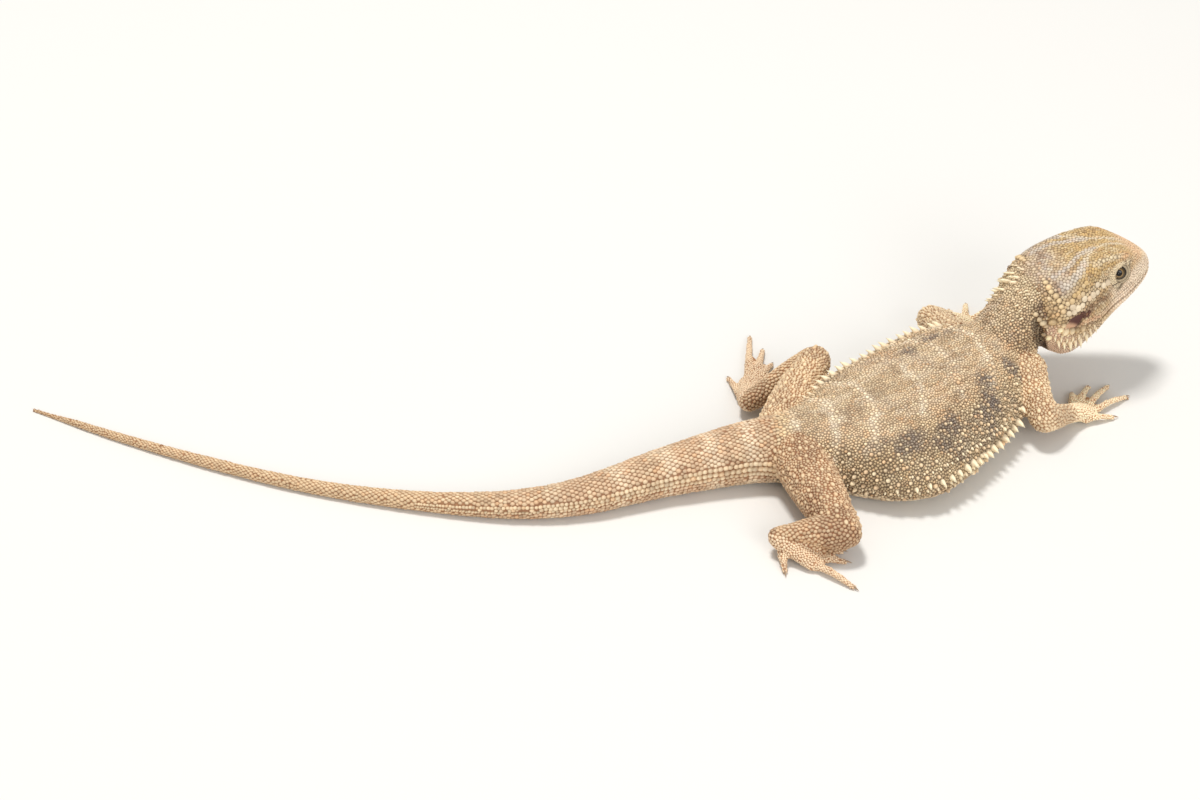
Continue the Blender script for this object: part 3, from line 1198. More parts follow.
class Plan:
    """Says how wide each scale is, what shape it has and which way it lies, anywhere on the animal."""

    def __init__(self, skin):
        self.skin = skin
        self.size = sizes()
        self.lines = limb_lines()
        station, _ = BODY.locate(skin.places)
        self.station = station
        self.names = np.array(FLESH)[skin.parts]
        self.width = self.width_field()

    def tail_width(self, station):
        """How wide the tail's scales are at a station."""
        root = self.size.tail_scale
        return root * np.interp(station, (100, 116, 160, 226, 306, 391), (0.72, 0.9, 1.0, 0.86, 0.68, 0.42))

    def width_field(self):
        """How wide the scales are at each point of the skin."""
        size, skin = self.size, self.skin
        under = ramp(-0.25, -0.65, skin.normals[:, 2])
        low = ramp(9.0, 4.0, skin.places[:, 2])
        width = size.back_granule + (size.belly_scale - size.back_granule) * under + 0.32 * low * (1 - under)
        width = width * (0.9 + 0.3 * layered(skin.places, 7.0, 113))
        width = np.where(self.station > TAIL_COAT, self.tail_width(self.station), width)
        width = np.where(self.names == "neck", size.neck_scale, width)
        ahead, wide, high = folded(to_head(skin.places)).T
        apart = np.stack([ahead - EYE_AT[0], wide - 11.4, high - EYE_AT[2] - 0.4], axis=1)
        eye = np.linalg.norm(apart, axis=1)
        top = np.interp(ahead, (-2, 6, 14, 24, 34, 42, 50), (1.0, 1.15, 1.2, 1.08, 0.98, 0.88, 0.75))
        beneath = np.interp(ahead, (0, 20, 45), (0.85, 1.05, 0.85))
        head = np.where(high < -9.5, beneath, top) * np.interp(eye, (4.0, 5.0, 8.0), (0.5, 0.66, 1.0))
        pouch = ramp(7.0, 3.0, ahead) * ramp(-11.0, -14.0, high)
        head = np.maximum(0.5, head * (1 - 0.35 * pouch)) * size.head_scale
        width = np.where(np.isin(self.names, HEAD_PARTS), head, width)
        for name, lines in self.lines.items():
            mine = self.names == name
            if name.startswith(("hand", "foot")):
                away = np.linalg.norm(skin.places[mine] - lines[0][0], axis=1)
                width[mine] = np.interp(away, (2.0, 7.0), (1.2, size.digit_scale + 0.05))
            else:
                width[mine] = size.limb_scale * (0.76 if name.startswith(("thigh", "upper")) else 1.0)
        return width

    def nearest_line(self, name, place):
        """The direction of the line of a limb piece that is nearest to a place."""
        best, chosen = 1e9, None
        for start, end in self.lines[name]:
            leg = end - start
            t = min(max(float((place - start) @ leg) / float(leg @ leg), 0), 1)
            gap = float(np.linalg.norm(place - start - leg * t))
            if gap < best:
                best, chosen = gap, leg
        return chosen

    def at(self, place, normal, index):
        """(shape, length share, height share, overlap, lie, group) for a scale rooted at a place."""
        name = self.names[index]
        if name in HEAD_PARTS:
            local = to_head(place)
            lie, group = lying(-HEAD_AHEAD, normal), f"head_{side_of(local[1])}"
            if local[0] < 3 or local[2] < -9.5:
                return "granule", 1.0, 0.38, 1.15, lie, group
            return "plate", 1.0, 0.22, 1.2, lie, group
        if name in self.lines:
            leg = self.nearest_line(name, place)
            group = "front_limbs" if name.startswith(("upper", "fore", "hand")) else "hind_limbs"
            if name.startswith(("hand", "foot")):
                return "plate", 1.08, 0.36, 1.14, lying(leg, normal), group
            return "keeled", 1.12, 0.36, 1.16, lying(leg, normal), group
        station = float(self.station[index])
        middle, forward, side = BODY.at(station)
        lie = lying(-forward, normal)
        if name == "neck":
            return "granule", 1.1, 0.5, 1.15, lie, "neck"
        if station > TAIL_COAT:
            return "keeled", 1.2, 0.34, 1.15, lie, "tail"
        if normal[2] < -0.45:
            return "plate", 1.05, 0.2, 1.25, lie, "belly"
        across = float((place - middle) @ side)
        height = float(np.interp(abs(across) / half_width(station, across), (0.2, 0.7), (0.34, 0.5)))
        return "granule", 1.12, height, 1.14, lie, f"back_{side_of(across)}"


def plant_row(coat, plan, roots, tightness, seed, tidy=1.0):
    """Plants a row of small scales on the skin at their roots, each a little out of line."""
    shake = np.random.default_rng(seed)
    for root in roots:
        loose = plan.size.looseness * tidy
        place, normal, index = plan.skin.nearest(root + shake.uniform(-loose, loose, 3))
        width = plan.width[index] * shake.uniform(0.88, 1.1)
        if not coat.room(place, normal, width / 2, tightness):
            continue
        shape, length, height, overlap, lie, group = plan.at(place, normal, index)
        lie = turned(lie, normal, shake.uniform(-0.2, 0.2))
        height *= shake.uniform(0.8, 1.2)
        coat.add(place, normal, lie, width, shape, group, index, length, height, overlap)


def tail_rows(coat, plan):
    """Rows of scales round the tail."""
    owned = np.isin(FLESH, flesh("trunk", "tail"))
    station, row = TAIL_FROM, 0
    while station < TAIL_END:
        width = float(plan.tail_width(station))
        rays = int(np.interp(station, (5, 95, 108, 220, 390), (150, 130, 48, 30, 18)))
        roots = body_ring(plan.skin, station, width, row % 2 == 1, owned, rays)
        plant_row(coat, plan, roots, 0.74, 1000 + row)
        station += width * ROW_STEP
        row += 1


def digit_rows(coat, plan):
    """Staggered rows of scales round each finger and toe, along its arch."""
    width = plan.size.digit_scale
    for name, lines in plan.lines.items():
        owned = np.isin(FLESH, name)
        for start, end in lines[1:]:
            side = unit(np.cross(unit(end - start), UP))
            upward = np.cross(side, unit(end - start))
            count = max(2, int(np.linalg.norm(end - start) / (width * ROW_STEP)))
            for row in range(count + 1):
                t = row / count
                place = start + (end - start) * t + UP * (DIGIT_ARCH * math.sin(math.pi * t) * (1 - 0.5 * t))
                odd = row % 2 == 1
                roots = ring_of_roots(plan.skin, place, side, upward, DIGIT_REACH, width, odd, owned, 20)
                plant_row(coat, plan, roots, 0.8, int(5000 + 31 * start[0] + 7 * end[1]) + row, 0.3)


def growing_order(plan, spots, indices):
    """Numbers that grow from the front of each part of the animal to its rear or its far end."""
    names = plan.names[indices]
    rank = np.where(np.isin(names, HEAD_PARTS), -to_head(spots)[:, 0], plan.station[indices])
    for name, lines in plan.lines.items():
        mine = names == name
        start, end = lines[0]
        rank[mine] = (spots[mine] - start) @ unit(end - start)
    return rank


def fill_gaps(coat, plan, share_of_width, tightness, seed):
    """Small scales wherever the skin is still bare. Narrower ones than usual leave the hands and feet out."""
    skin = plan.skin
    shake = np.random.default_rng(seed)
    first = skin.corners[:, 0]
    spots, normals = [skin.places], [skin.normals]
    for _ in range(3):
        share = shake.dirichlet((1.0, 1.0, 1.0), len(skin.corners))[..., None]
        spots.append((skin.places[skin.corners] * share).sum(axis=1))
        normals.append(unit((skin.normals[skin.corners] * share).sum(axis=1)))
    spots, normals = np.concatenate(spots), np.concatenate(normals)
    indices = np.concatenate([np.arange(len(skin.places)), first, first, first])
    rank = growing_order(plan, spots, indices)
    order = np.argsort(rank + shake.uniform(-0.12, 0.12, len(spots)))
    width = share_of_width * plan.width[indices] * shake.uniform(0.88, 1.14, len(spots))
    spin = shake.uniform(-0.4, 0.4, len(spots))
    hidden = (spots[:, 2] < 0.12) & (normals[:, 2] < -0.9)
    if share_of_width < 1.0:
        hidden |= np.isin(plan.names[indices], flesh("hand", "foot"))
    bare = bare_spots(to_head(spots))
    for k in order[~(hidden | bare)[order]]:
        place, normal = spots[k], normals[k]
        if not coat.room(place, normal, width[k] / 2, tightness):
            continue
        shape, length, height, overlap, lie, group = plan.at(place, normal, indices[k])
        lie = turned(lie, normal, spin[k])
        coat.add(place, normal, lie, width[k], shape, group, indices[k], length, height, overlap)


def settle(coat, plan, rounds):
    """Spreads the small scales evenly: each pushes its neighbours away along the skin."""
    places, normals, points, reaches = (coat.column(name) for name in ("root", "normal", "point", "reach"))
    free = np.where(coat.column("free"))[0]
    for _ in range(rounds):
        tree = KDTree(len(places))
        for k, place in enumerate(places):
            tree.insert(place, k)
        tree.balance()
        near = np.array([[found[1] for found in tree.find_n(places[k], NEIGHBOURS)] for k in free])
        offset = places[free][:, None, :] - places[near]
        gap = np.linalg.norm(offset, axis=2)
        wanted = (reaches[free][:, None] + reaches[near]) * SETTLED_GAP
        same_side = (normals[free][:, None, :] * normals[near]).sum(axis=2) > 0.1
        push = np.clip(wanted - gap, 0, None) * same_side * (gap > 1e-6)
        move = (offset / np.maximum(gap, 1e-6)[..., None] * push[..., None]).sum(axis=1) * GIVE_WAY
        length = np.linalg.norm(move, axis=1)
        move = move * np.minimum(1.0, LONGEST_STEP * reaches[free] / np.maximum(length, 1e-6))[:, None]
        bare = bare_spots(to_head(places[free] + move))
        for k, step in zip(free[~bare], move[~bare]):
            places[k], normals[k], points[k] = plan.skin.nearest(places[k] + step)
    coat.cells = {}
    for k, scale in enumerate(coat.scales):
        lie = lying(scale.lie, normals[k])
        coat.scales[k] = scale._replace(root=places[k], normal=normals[k], lie=lie, point=points[k])
        coat.hold(places[k], normals[k], reaches[k])


def bare_spots(local):
    """True inside the eye sockets, the ears and the nostrils."""
    spots = folded(local)
    ahead, wide, high = spots.T
    eye = np.linalg.norm(spots - EYE_AT, axis=1) < EYE_RADIUS + 0.75
    nostril = np.linalg.norm(spots - NOSTRIL_AT, axis=1) < 1.0
    slant = math.radians(EAR_SLANT)
    along = (ahead - EAR_AT[0]) * math.cos(slant) + (high - EAR_AT[2]) * math.sin(slant)
    over = -(ahead - EAR_AT[0]) * math.sin(slant) + (high - EAR_AT[2]) * math.cos(slant)
    ear = (along / (EAR_LENGTH / 2 + 0.55)) ** 2 + (over / (EAR_HEIGHT / 2 + 0.5)) ** 2 < 1.0
    return eye | nostril | ((wide > 14) & ear)


def flank_tubercles(coat, plan):
    """Raised scales in loose rows over the back and flanks, larger towards the edge of the belly."""
    owned = np.isin(FLESH, ("trunk", "neck"))
    size = plan.size
    station, row = 7.0, 0
    shake = np.random.default_rng(11)
    while station < 106:
        _, forward, side = BODY.at(station)
        for root in body_ring(plan.skin, station, size.tubercle_spacing, row % 2 == 1, owned, 120):
            spot = root + forward * shake.uniform(-0.9, 0.9) + side * shake.uniform(-0.8, 0.8)
            place, normal, index = plan.skin.nearest(spot)
            chance, scale = shake.uniform(), shake.uniform(0.62, 1.14)
            if normal[2] < -0.35:
                continue
            across = float((place - BODY.at(plan.station[index])[0]) @ side)
            out = abs(across) / float(half_width(station, across))
            if out < 0.5 and chance > 0.5 + 0.2 * float(bump(0.26, 0.2, out)):
                continue
            width_share = float(np.interp(out, (0, 0.3, 0.6, 0.85, 1.0), (0.72, 0.86, 0.92, 1.08, 1.3)))
            height = float(np.interp(out, (0, 0.4, 0.8, 1.0), (0.42, 0.5, 0.62, 0.8)))
            coat.add(
                place, normal, leaning(-forward, normal, shake.uniform(-0.4, 0.4)),
                size.flank_tubercle * width_share * scale, "tubercle", f"back_{side_of(across)}", index,
                1.05, height, tightness=0.8,
            )
        station += size.tubercle_spacing * 0.82
        row += 1


def band_tubercles(coat, plan):
    """Two loose rows of pale raised scales along each cross band of the back."""
    shake = np.random.default_rng(13)
    for middle, row in ((middle, row) for middle in TRUNK_BANDS for row in (-0.75, 0.75)):
        across = -17.0
        while across < 21.0:
            bend = BAND_BEND * abs(across) ** 2
            place, forward, side = BODY.at(middle + bend + row + shake.uniform(-0.6, 0.6))
            found = plan.skin.cast(place + side * across + UP * 40.0, -UP, 40.0)
            across += shake.uniform(1.5, 2.3)
            if found is None or plan.names[found[2]] != "trunk" or shake.uniform() < 0.15:
                continue
            place, normal, index = found
            coat.add(
                place, normal, leaning(-forward, normal, shake.uniform(-0.4, 0.4)),
                plan.size.flank_tubercle * shake.uniform(0.85, 1.2), "tubercle", f"back_{side_of(across)}",
                index, 1.1, 0.42, tightness=0.75,
            )


def limb_tubercles(coat, plan):
    """Large keeled scales scattered over the thighs and upper arms, with room for small ones between."""
    shake = np.random.default_rng(17)
    for name in ("thigh_right", "thigh_left", "upper_arm_right", "upper_arm_left"):
        for index in shake.permutation(np.where(plan.names == name)[0])[:2600]:
            place, normal = plan.skin.places[index], plan.skin.normals[index]
            width = plan.size.limb_scale * shake.uniform(1.0, 1.6)
            if normal[2] < -0.2 or not coat.room(place, normal, width / 2, 1.28):
                continue
            *_, lie, group = plan.at(place, normal, index)
            lie = turned(lie, normal, shake.uniform(-0.3, 0.3))
            coat.add(place, normal, lie, width * 0.9, "tubercle", group, index, 1.25, 0.4, 1.1)


def plant_spine(coat, plan, spot, out, lie, width, length, group):
    """A spine rooted on the skin nearest to a spot, pointing outwards and swept along lie."""
    place, normal, index = plan.skin.nearest(spot)
    up = unit(0.45 * normal + 0.55 * out)
    coat.add(place, up, lying(lie, up), width, "spine", group, index, 1.0, length / width)


# Lanes of spines along the flanks: first and last station, how far out (1 is the widest line),
# the rise above that line, the share of the full length and the share of the full spacing.
FRINGE_LANES = {
    1: (
        (14.0, 84.0, 1.0, 0.2, 1.0, 1.0), (30.0, 84.0, 0.99, 2.8, 0.38, 0.72),
        (48.0, 92.0, 1.0, -1.8, 0.42, 0.6),
    ),
    -1: ((12.0, 94.0, 0.70, 0.0, 0.88, 1.0), (16.0, 90.0, 1.0, 0.0, 0.6, 1.0)),
}
FRINGE_RISE = ((12, 5.5), (17, 4.0), (22, 1.2), (28, 0.0), (46, 0.6), (58, 2.6), (70, 2.8), (82, 1.2))


def fringe(coat, plan):
    """The spines along each flank: long ones along its edge, with rows of shorter ones beside them."""
    shake = np.random.default_rng(21)
    lanes = [(sign, number, lane) for sign, rows in FRINGE_LANES.items() for number, lane in enumerate(rows)]
    for sign, number, (first, last, out_share, rise, share, spacing) in lanes:
        station = first + number * 1.4
        while station < last:
            place, forward, side = BODY.at(station)
            level = float(profile(SIDE_HEIGHT, station))
            up = float(profile(BACK_HEIGHT, station)) - level
            height = level + up * math.sqrt(1 - out_share ** 2) + rise
            if sign > 0:
                height += float(profile(FRINGE_RISE, station))
            spot = place + side * sign * float(half_width(station, sign)) * out_share + UP * height
            spot = spot + shake.uniform(-0.35, 0.35, 3)
            fade = 0.5 + 0.5 * float(ramp(first - 4, first + 5, station) * ramp(last + 2, last - 30, station))
            length = plan.size.fringe_spine * share * fade * shake.uniform(0.85, 1.15)
            lift = 0.65 if sign < 0 and out_share < 0.95 else -0.1
            out = side * sign + UP * lift + forward * (0.2 if sign > 0 else -0.35)
            lie = side * sign * 0.4 - forward * 0.6 if sign > 0 else -forward
            width = length * (0.66 if sign > 0 else 0.72) + 0.5
            if plan.names[plan.skin.nearest(spot)[2]] == "trunk":
                plant_spine(coat, plan, spot, unit(out), lie, width, length, f"back_{side_of(sign)}")
            station += plan.size.fringe_spacing * spacing * shake.uniform(0.85, 1.15)


def tail_edge(coat, plan):
    """Rows of larger raised scales along each side of the tail's first third."""
    shake = np.random.default_rng(23)
    rows = [(sign, *row) for sign in (1, -1) for row in ((2.6, 0.9), (0.4, 1.0), (-1.9, 0.8))]
    for sign, rise, share in rows:
        station = TAIL_FROM + rise * 0.5
        while station < 236:
            place, forward, side = BODY.at(station)
            fall = float(np.interp(station, (104, 236), (1.0, 0.3)))
            height = float(profile(SIDE_HEIGHT, station)) + rise * fall
            spot = place + side * sign * float(half_width(station, sign)) * 0.98 + UP * height
            width = float(np.interp(station, (101, 112, 150, 236), (1.7, 2.3, 2.0, 1.2))) * share
            place, normal, index = plan.skin.nearest(spot + shake.uniform(-0.15, 0.15, 3))
            lie = leaning(-forward, normal, shake.uniform(-0.15, 0.15))
            width_here = width * shake.uniform(0.92, 1.08)
            coat.add(place, normal, lie, width_here, "tubercle", "tail", index, 1.15, 0.5, 1.1, tightness=0.7)
            station += width * 0.96


# Rows of the head's spines, in the head's frame: the line of their roots, where they point,
# their length and their spacing.
HEAD_SPINES = (
    (
        ((3.6, 16.2, -12.6), (8.0, 16.9, -14.2), (12.0, 16.8, -14.4), (19.0, 15.2, -12.8)),
        (-0.3, 0.9, -0.6), 1.0, 2.3,
    ),
    (
        ((2.4, 16.4, -10.6), (6.0, 17.1, -12.0), (11.0, 17.3, -12.4), (18.6, 15.9, -11.0)),
        (-0.4, 0.95, -0.3), 0.62, 2.4,
    ),
    (
        ((-0.5, 14.8, -6.2), (0.6, 16.2, -7.6), (3.4, 17.2, -9.4), (7.0, 17.7, -9.6)),
        (-0.6, 0.9, -0.1), 0.5, 2.3,
    ),
)


def beard(coat, plan):
    """The spines of the beard and of the corner of the jaw, in rows that start behind the mouth."""
    shake = np.random.default_rng(31)
    for line, point, share, spacing in HEAD_SPINES:
        for side in (1, -1):
            for local in along_line(line, spacing):
                local = local * (1, side, 1) + shake.uniform(-0.25, 0.25, 3)
                fade = float(np.interp(local[0], (0, 7, 14, 20), (0.75, 1.0, 0.95, 0.5)))
                length = plan.size.beard_spine * share * fade * shake.uniform(0.85, 1.12)
                out = HEAD_AHEAD * point[0] + HEAD_RIGHT * point[1] * side + HEAD_UP * point[2]
                width, group = length * 0.48 + 0.5, f"head_{side_of(side)}"
                plant_spine(coat, plan, in_head(local), unit(out), out, width, length, group)


# Spines of the nape, on each side: the line of their roots in the head's frame, their length and spacing.
NAPE_ROWS = (
    (((0.6, 3.4, 9.6), (0.2, 6.5, 9.2), (-0.4, 9.6, 7.8)), 1.9, 1.9),
    (((-2.2, 2.6, 8.0), (-2.6, 6.0, 7.4), (-3.2, 9.2, 5.4)), 2.7, 2.0),
    (((-4.6, 1.8, 6.2), (-5.0, 5.4, 5.4), (-5.6, 9.0, 3.0)), 3.2, 2.1),
    (((-7.2, 3.6, 3.4), (-7.6, 7.4, 2.2), (-8.0, 10.2, -0.6)), 2.8, 2.2),
    (((-10.4, 6.2, 0.4), (-10.8, 9.4, -1.8), (-11.4, 11.4, -4.6)), 2.0, 2.4),
)


def nape(coat, plan):
    """The clusters of long spines on the nape, behind each corner of the skull."""
    shake = np.random.default_rng(37)
    for side, share in ((-1, 1.0), (1, 0.62)):
        for line, length, spacing in NAPE_ROWS:
            for local in along_line(line, spacing / (1.0 if side < 0 else 0.8)):
                local = local * (1, side, 1) + shake.uniform(-0.45, 0.45, 3)
                size = length * share * shake.uniform(0.75, 1.12)
                way = HEAD_AHEAD * -0.8 + HEAD_RIGHT * 0.35 * side + HEAD_UP * shake.uniform(0.3, 0.65)
                width = size * 0.5 + 0.15
                plant_spine(coat, plan, in_head(local), unit(way), -HEAD_AHEAD, width, size, "neck")


# Rows of the head's larger scales: line in the head's frame, width, spacing, height and shape.
PLATE_ROWS = (
    (shifted(CHEEK_PLATES, 0, 0, 0.5), 2.3, 1.95, 0.36, "plate"),
    (shifted(CHEEK_PLATES[1:], 0, -0.4, 2.4), 2.2, 1.9, 0.36, "plate"),
    (shifted(CHEEK_PLATES[3:], 0, -0.9, 4.2), 2.0, 1.9, 0.4, "plate"),
    (BROW_RIDGE, 1.3, 1.1, 0.36, "keeled"),
    (TEMPLE_EDGE, 2.1, 2.0, 0.5, "tubercle"),
    (shifted(TEMPLE_EDGE[1:], -1.9, -0.5, -0.9), 1.7, 2.1, 0.5, "tubercle"),
    (((3.2, 0.0, 11.4), (3.4, 4.0, 11.0), (3.2, 8.6, 10.2)), 1.5, 1.8, 0.5, "tubercle"),
    (
        ((1.5, 15.6, -2.6), (3.0, 16.9, -5.2), (5.2, 17.5, -7.4), (8.2, 17.9, -8.6), (13.0, 17.8, -9.0)),
        2.7, 2.3, 0.66, "tubercle",
    ),
    (
        ((-3.2, 12.4, 0.2), (-2.1, 13.7, -1.5), (-0.5, 14.8, -4.5), (1.0, 15.8, -7.5), (3.4, 16.6, -9.8)),
        2.2, 2.1, 0.6, "tubercle",
    ),
    (((4.8, 17.0, -2.4), (5.2, 17.4, -4.6)), 2.0, 1.9, 0.55, "tubercle"),
    (
        ((0.5, 15.4, -5.4), (2.4, 16.6, -7.6), (5.0, 17.2, -9.9), (9.0, 17.6, -10.8), (13.0, 17.4, -11.0)),
        2.5, 2.2, 0.66, "tubercle",
    ),
    (
        ((-1.2, 14.0, -8.8), (1.4, 15.6, -10.9), (4.0, 16.4, -12.4), (8.0, 17.0, -12.6)),
        2.1, 2.0, 0.6, "tubercle",
    ),
    (((1.2, 13.8, 2.6), (2.2, 15.6, -0.4)), 1.6, 1.9, 0.5, "tubercle"),
    (GOLD_CHEEK, 1.7, 1.6, 0.34, "plate"),
)
# Rows of lip scales, two above the mouth and two below it: distance above it, width and height.
LIP_ROWS = ((1.15, 1.2, 0.36), (2.25, 1.1, 0.34), (-1.15, 1.25, 0.36), (-2.3, 1.2, 0.36))


def head_plates(coat, plan):
    """The head's larger scales, each row along its own line, before the small ones fill in."""
    shake = np.random.default_rng(41)
    for line, width, spacing, height, shape in PLATE_ROWS:
        for side in (1, -1):
            for local in along_line(line, spacing):
                local = local * (1, side, 1) + shake.uniform(-0.28, 0.28, 3)
                place, normal, index = plan.skin.nearest(in_head(local))
                coat.add(
                    place, normal, leaning(-HEAD_AHEAD, normal, shake.uniform(-0.5, 0.5)),
                    width * shake.uniform(0.84, 1.14), shape, f"head_{side_of(side)}", index,
                    1.05, height * (1.0 if shape == "tubercle" else 0.75), 1.2, tightness=0.8,
                )
    for rise, width, height in LIP_ROWS:
        for side in (1, -1):
            line = to_head(lip_line(side)) + np.array((0, -0.12 * side * abs(rise), rise))
            for local in along_line(line, width * 0.98):
                place, normal, index = plan.skin.nearest(in_head(local))
                wide = width * float(np.interp(local[0], (24, 48), (1.08, 0.75)))
                lie = lying(-HEAD_AHEAD, normal)
                coat.add(
                    place, normal, lie, wide, "plate", f"head_{side_of(side)}", index, 1.0, height, 1.15,
                    tightness=0.7,
                )


PATCH_SIZE = 0.0026  # of a scale on the unwrap, for each unit of its shape
WIDE_PLATE = 1.85  # plates wider than this are tinted as half raised
GROUPS = (
    "back_right", "back_left", "belly", "tail", "neck", "head_right", "head_left",
    "front_limbs", "hind_limbs",
)


def share_of_turn(upward, across):
    """An angle as a share of a full turn, from 0 to 1."""
    return np.arctan2(upward, across) / (2 * math.pi) + 0.5


def chart_places(plan, roots, names):
    """Where each scale's root lies on an unwrap of the animal, and which part's tile it is on.

    Body and head are unrolled round their axes, and each piece of a limb round its own.
    """
    station, across = BODY.locate(roots)
    local = to_head(roots)
    chart = np.zeros((len(roots), 2))
    tile = np.zeros(len(roots), int)
    body, head = np.isin(names, BODY_PARTS), np.isin(names, HEAD_PARTS)
    chart[body, 0] = (station[body] + 15.0) / (TAIL_END + 16.0)
    chart[body, 1] = share_of_turn(roots[:, 2] - profile(SIDE_HEIGHT, station), across)[body]
    chart[head, 0] = (local[head, 0] + 4.0) / 56.0
    chart[head, 1] = share_of_turn(local[head, 2], local[head, 1])
    tile[head] = 1
    for number, (name, lines) in enumerate(plan.lines.items()):
        mine = names == name
        start, end = lines[0]
        leg = end - start
        offset = roots[mine] - start
        side = unit(np.cross(leg, UP))
        if name.startswith(("hand", "foot")):
            # Palm and back lie beside each other.
            chart[mine, 0] = (offset @ unit(leg * (1, 1, 0)) + 12.0) / 44.0
            chart[mine, 1] = ((offset @ side) / 60.0 + 0.5) * 0.48 + np.where(roots[mine, 2] > 1.2, 0.5, 0.0)
        else:
            chart[mine, 0] = np.clip((offset @ leg / (leg @ leg) + 0.6) / 2.2, 0, 1)
            chart[mine, 1] = share_of_turn(offset @ np.cross(side, unit(leg)), offset @ side)
        tile[mine] = 2 + number
    return np.clip(chart, 0.0, 1.0), tile


def make_coat():
    """Plants every scale, the large ones first, and makes the coat pieces."""
    plan = Plan(on_bench("skin"))
    coat = Coat()
    for plant in (
        fringe, tail_edge, beard, nape, head_plates, lid_scales,
        band_tubercles, flank_tubercles, limb_tubercles,
    ):
        plant(coat, plan)
    coat.settling = True
    tail_rows(coat, plan)
    digit_rows(coat, plan)
    fill_gaps(coat, plan, share_of_width=1.0, tightness=0.95, seed=7)
    settle(coat, plan, rounds=7)
    fill_gaps(coat, plan, share_of_width=0.72, tightness=0.94, seed=8)
    return weave(coat, plan)


def gap_tone(tones, places, parts):
    """The colour between the scales: darkest on the flanks and neck, and close to the scales' on the head."""
    names = np.array(FLESH)[parts]
    station, across = BODY.locate(places)
    local = to_head(places)
    on_head, on_tail, on_limb = (np.isin(names, group) for group in (HEAD_PARTS, flesh("tail"), LIMB_PARTS))
    bold = np.maximum(
        near_line(local, shifted(CHEEK_PLATES, 0, 0, 1.5), 4.5), near_line(local, TEMPLE_EDGE, 3.5)
    )
    jowl = ramp(14.0, 8.0, local[:, 0]) * ramp(-3.0, -5.0, local[:, 2])
    depth = 0.36 + 0.36 * ramp(0.3, 0.8, np.abs(across) / half_width(station, across))
    depth = np.where(on_head, 0.42 + 0.4 * bold * (1 - jowl) - 0.1 * jowl, depth)
    depth = np.where(on_limb, 0.85, depth)
    depth = np.where(on_tail, 0.75, depth)
    depth = np.where(names == "neck", 0.45 + 0.35 * ramp(7.0, 11.0, np.abs(local[:, 1])), depth)
    dark = mix(tones * 0.24, hue.umber * 0.5, 0.5)
    dark = mix(dark, tones * (0.5, 0.3, 0.2), 1.0 * (on_limb | on_tail))
    band = band_share(places, station, across) * (names == "trunk")
    light = mix(tones, hue.umber, 0.3 - 0.1 * on_head) * (0.66 + 0.16 * on_head)[:, None]
    return mix(light, dark, depth * (1 - 0.6 * band))


def varied(tones, parts, shapes):
    """Each scale's own tint: some paler, some browner, some warmer, and less so on the head and limbs."""
    shake = np.random.default_rng(51)
    names = np.array(FLESH)[parts]
    loose = np.where(np.isin(names, ("trunk", "neck", "tail_base", "tail_middle")), 1.15, 0.75)
    pick = shake.uniform(0, 1, len(tones))
    tones = washed(
        tones * (1 + loose * shake.uniform(-0.11, 0.11, len(tones)))[:, None],
        (hue.cream, 0.36 * loose * ramp(0.80, 0.98, pick)),
        (hue.umber, 0.26 * loose * ramp(0.22, 0.02, pick)),
        (hue.orange, 0.26 * loose * bump(0.5, 0.09, pick)),
    )
    return mix(tones, hue.pale * (1.16, 1.12, 1.02), 0.85 * (shapes == "spine"))


def weave(coat, plan):
    """Turns the planted scales into one mesh for each group."""
    roots, normals, lies = (coat.column(name) for name in ("root", "normal", "lie"))
    widths, lengths, heights = (coat.column(name)[:, None, None] for name in ("width", "length", "height"))
    shapes, groups = coat.column("shape"), coat.column("group")
    parts = plan.skin.parts[coat.column("point")]
    wide_plate = (shapes == "plate") & (widths[:, 0, 0] > WIDE_PLATE)
    raised = np.where(np.isin(shapes, ("tubercle", "spine")), 1.0, 0.5 * wide_plate)
    tones = varied(hide_tone(roots, normals, parts, raised), parts, shapes)
    gaps = gap_tone(tones, roots, parts)
    gaps = mix(gaps, tones, 0.5 * (shapes == "spine"))
    cross = np.cross(normals, lies)
    charts, tiles = chart_places(plan, roots, np.array(FLESH)[parts])
    made = []
    for group in GROUPS:
        places, corners, colours, patches = [], [], [], []
        count = 0
        group_tiles = sorted(set(tiles[groups == group].tolist()))
        grid = int(math.ceil(math.sqrt(max(1, len(group_tiles)))))
        for shape, (points, faces, shades) in SHAPES.items():
            chosen = np.where((groups == group) & (shapes == shape))[0]
            if len(chosen) == 0:
                continue
            spot = (
                roots[chosen, None, :]
                + lies[chosen, None, :] * (points[None, :, 0:1] * lengths[chosen])
                + cross[chosen, None, :] * (points[None, :, 1:2] * widths[chosen])
                + normals[chosen, None, :] * (points[None, :, 2:3] * heights[chosen])
            )
            spot[..., 2] = np.maximum(spot[..., 2], 0.0)
            gap, own = gaps[chosen, None, :], tones[chosen, None, :]
            order = np.array([group_tiles.index(t) for t in tiles[chosen]])
            corner = np.stack([order % grid, order // grid], axis=1) / grid
            root_uv = corner + (0.02 + 0.96 * charts[chosen]) / grid
            patch = root_uv[:, None, :] + points[None, :, :2] * PATCH_SIZE
            places.append(spot.reshape(-1, 3))
            colours.append((gap + (own - gap) * shades[None, :, None]).reshape(-1, 3))
            patches.append(np.clip(patch.reshape(-1, 2), 0, 1))
            shift = count + np.arange(len(chosen))[:, None, None] * len(points)
            corners.append((faces[None, :, :] + shift).reshape(-1, 3))
            count += len(chosen) * len(points)
        if count:
            joined = (np.concatenate(v) for v in (places, corners, colours, patches))
            made.append(mesh_from(f"scales_{group}", *joined))
    return made


# ---------------------------------------------------------------- eyes, lids, ears and claws

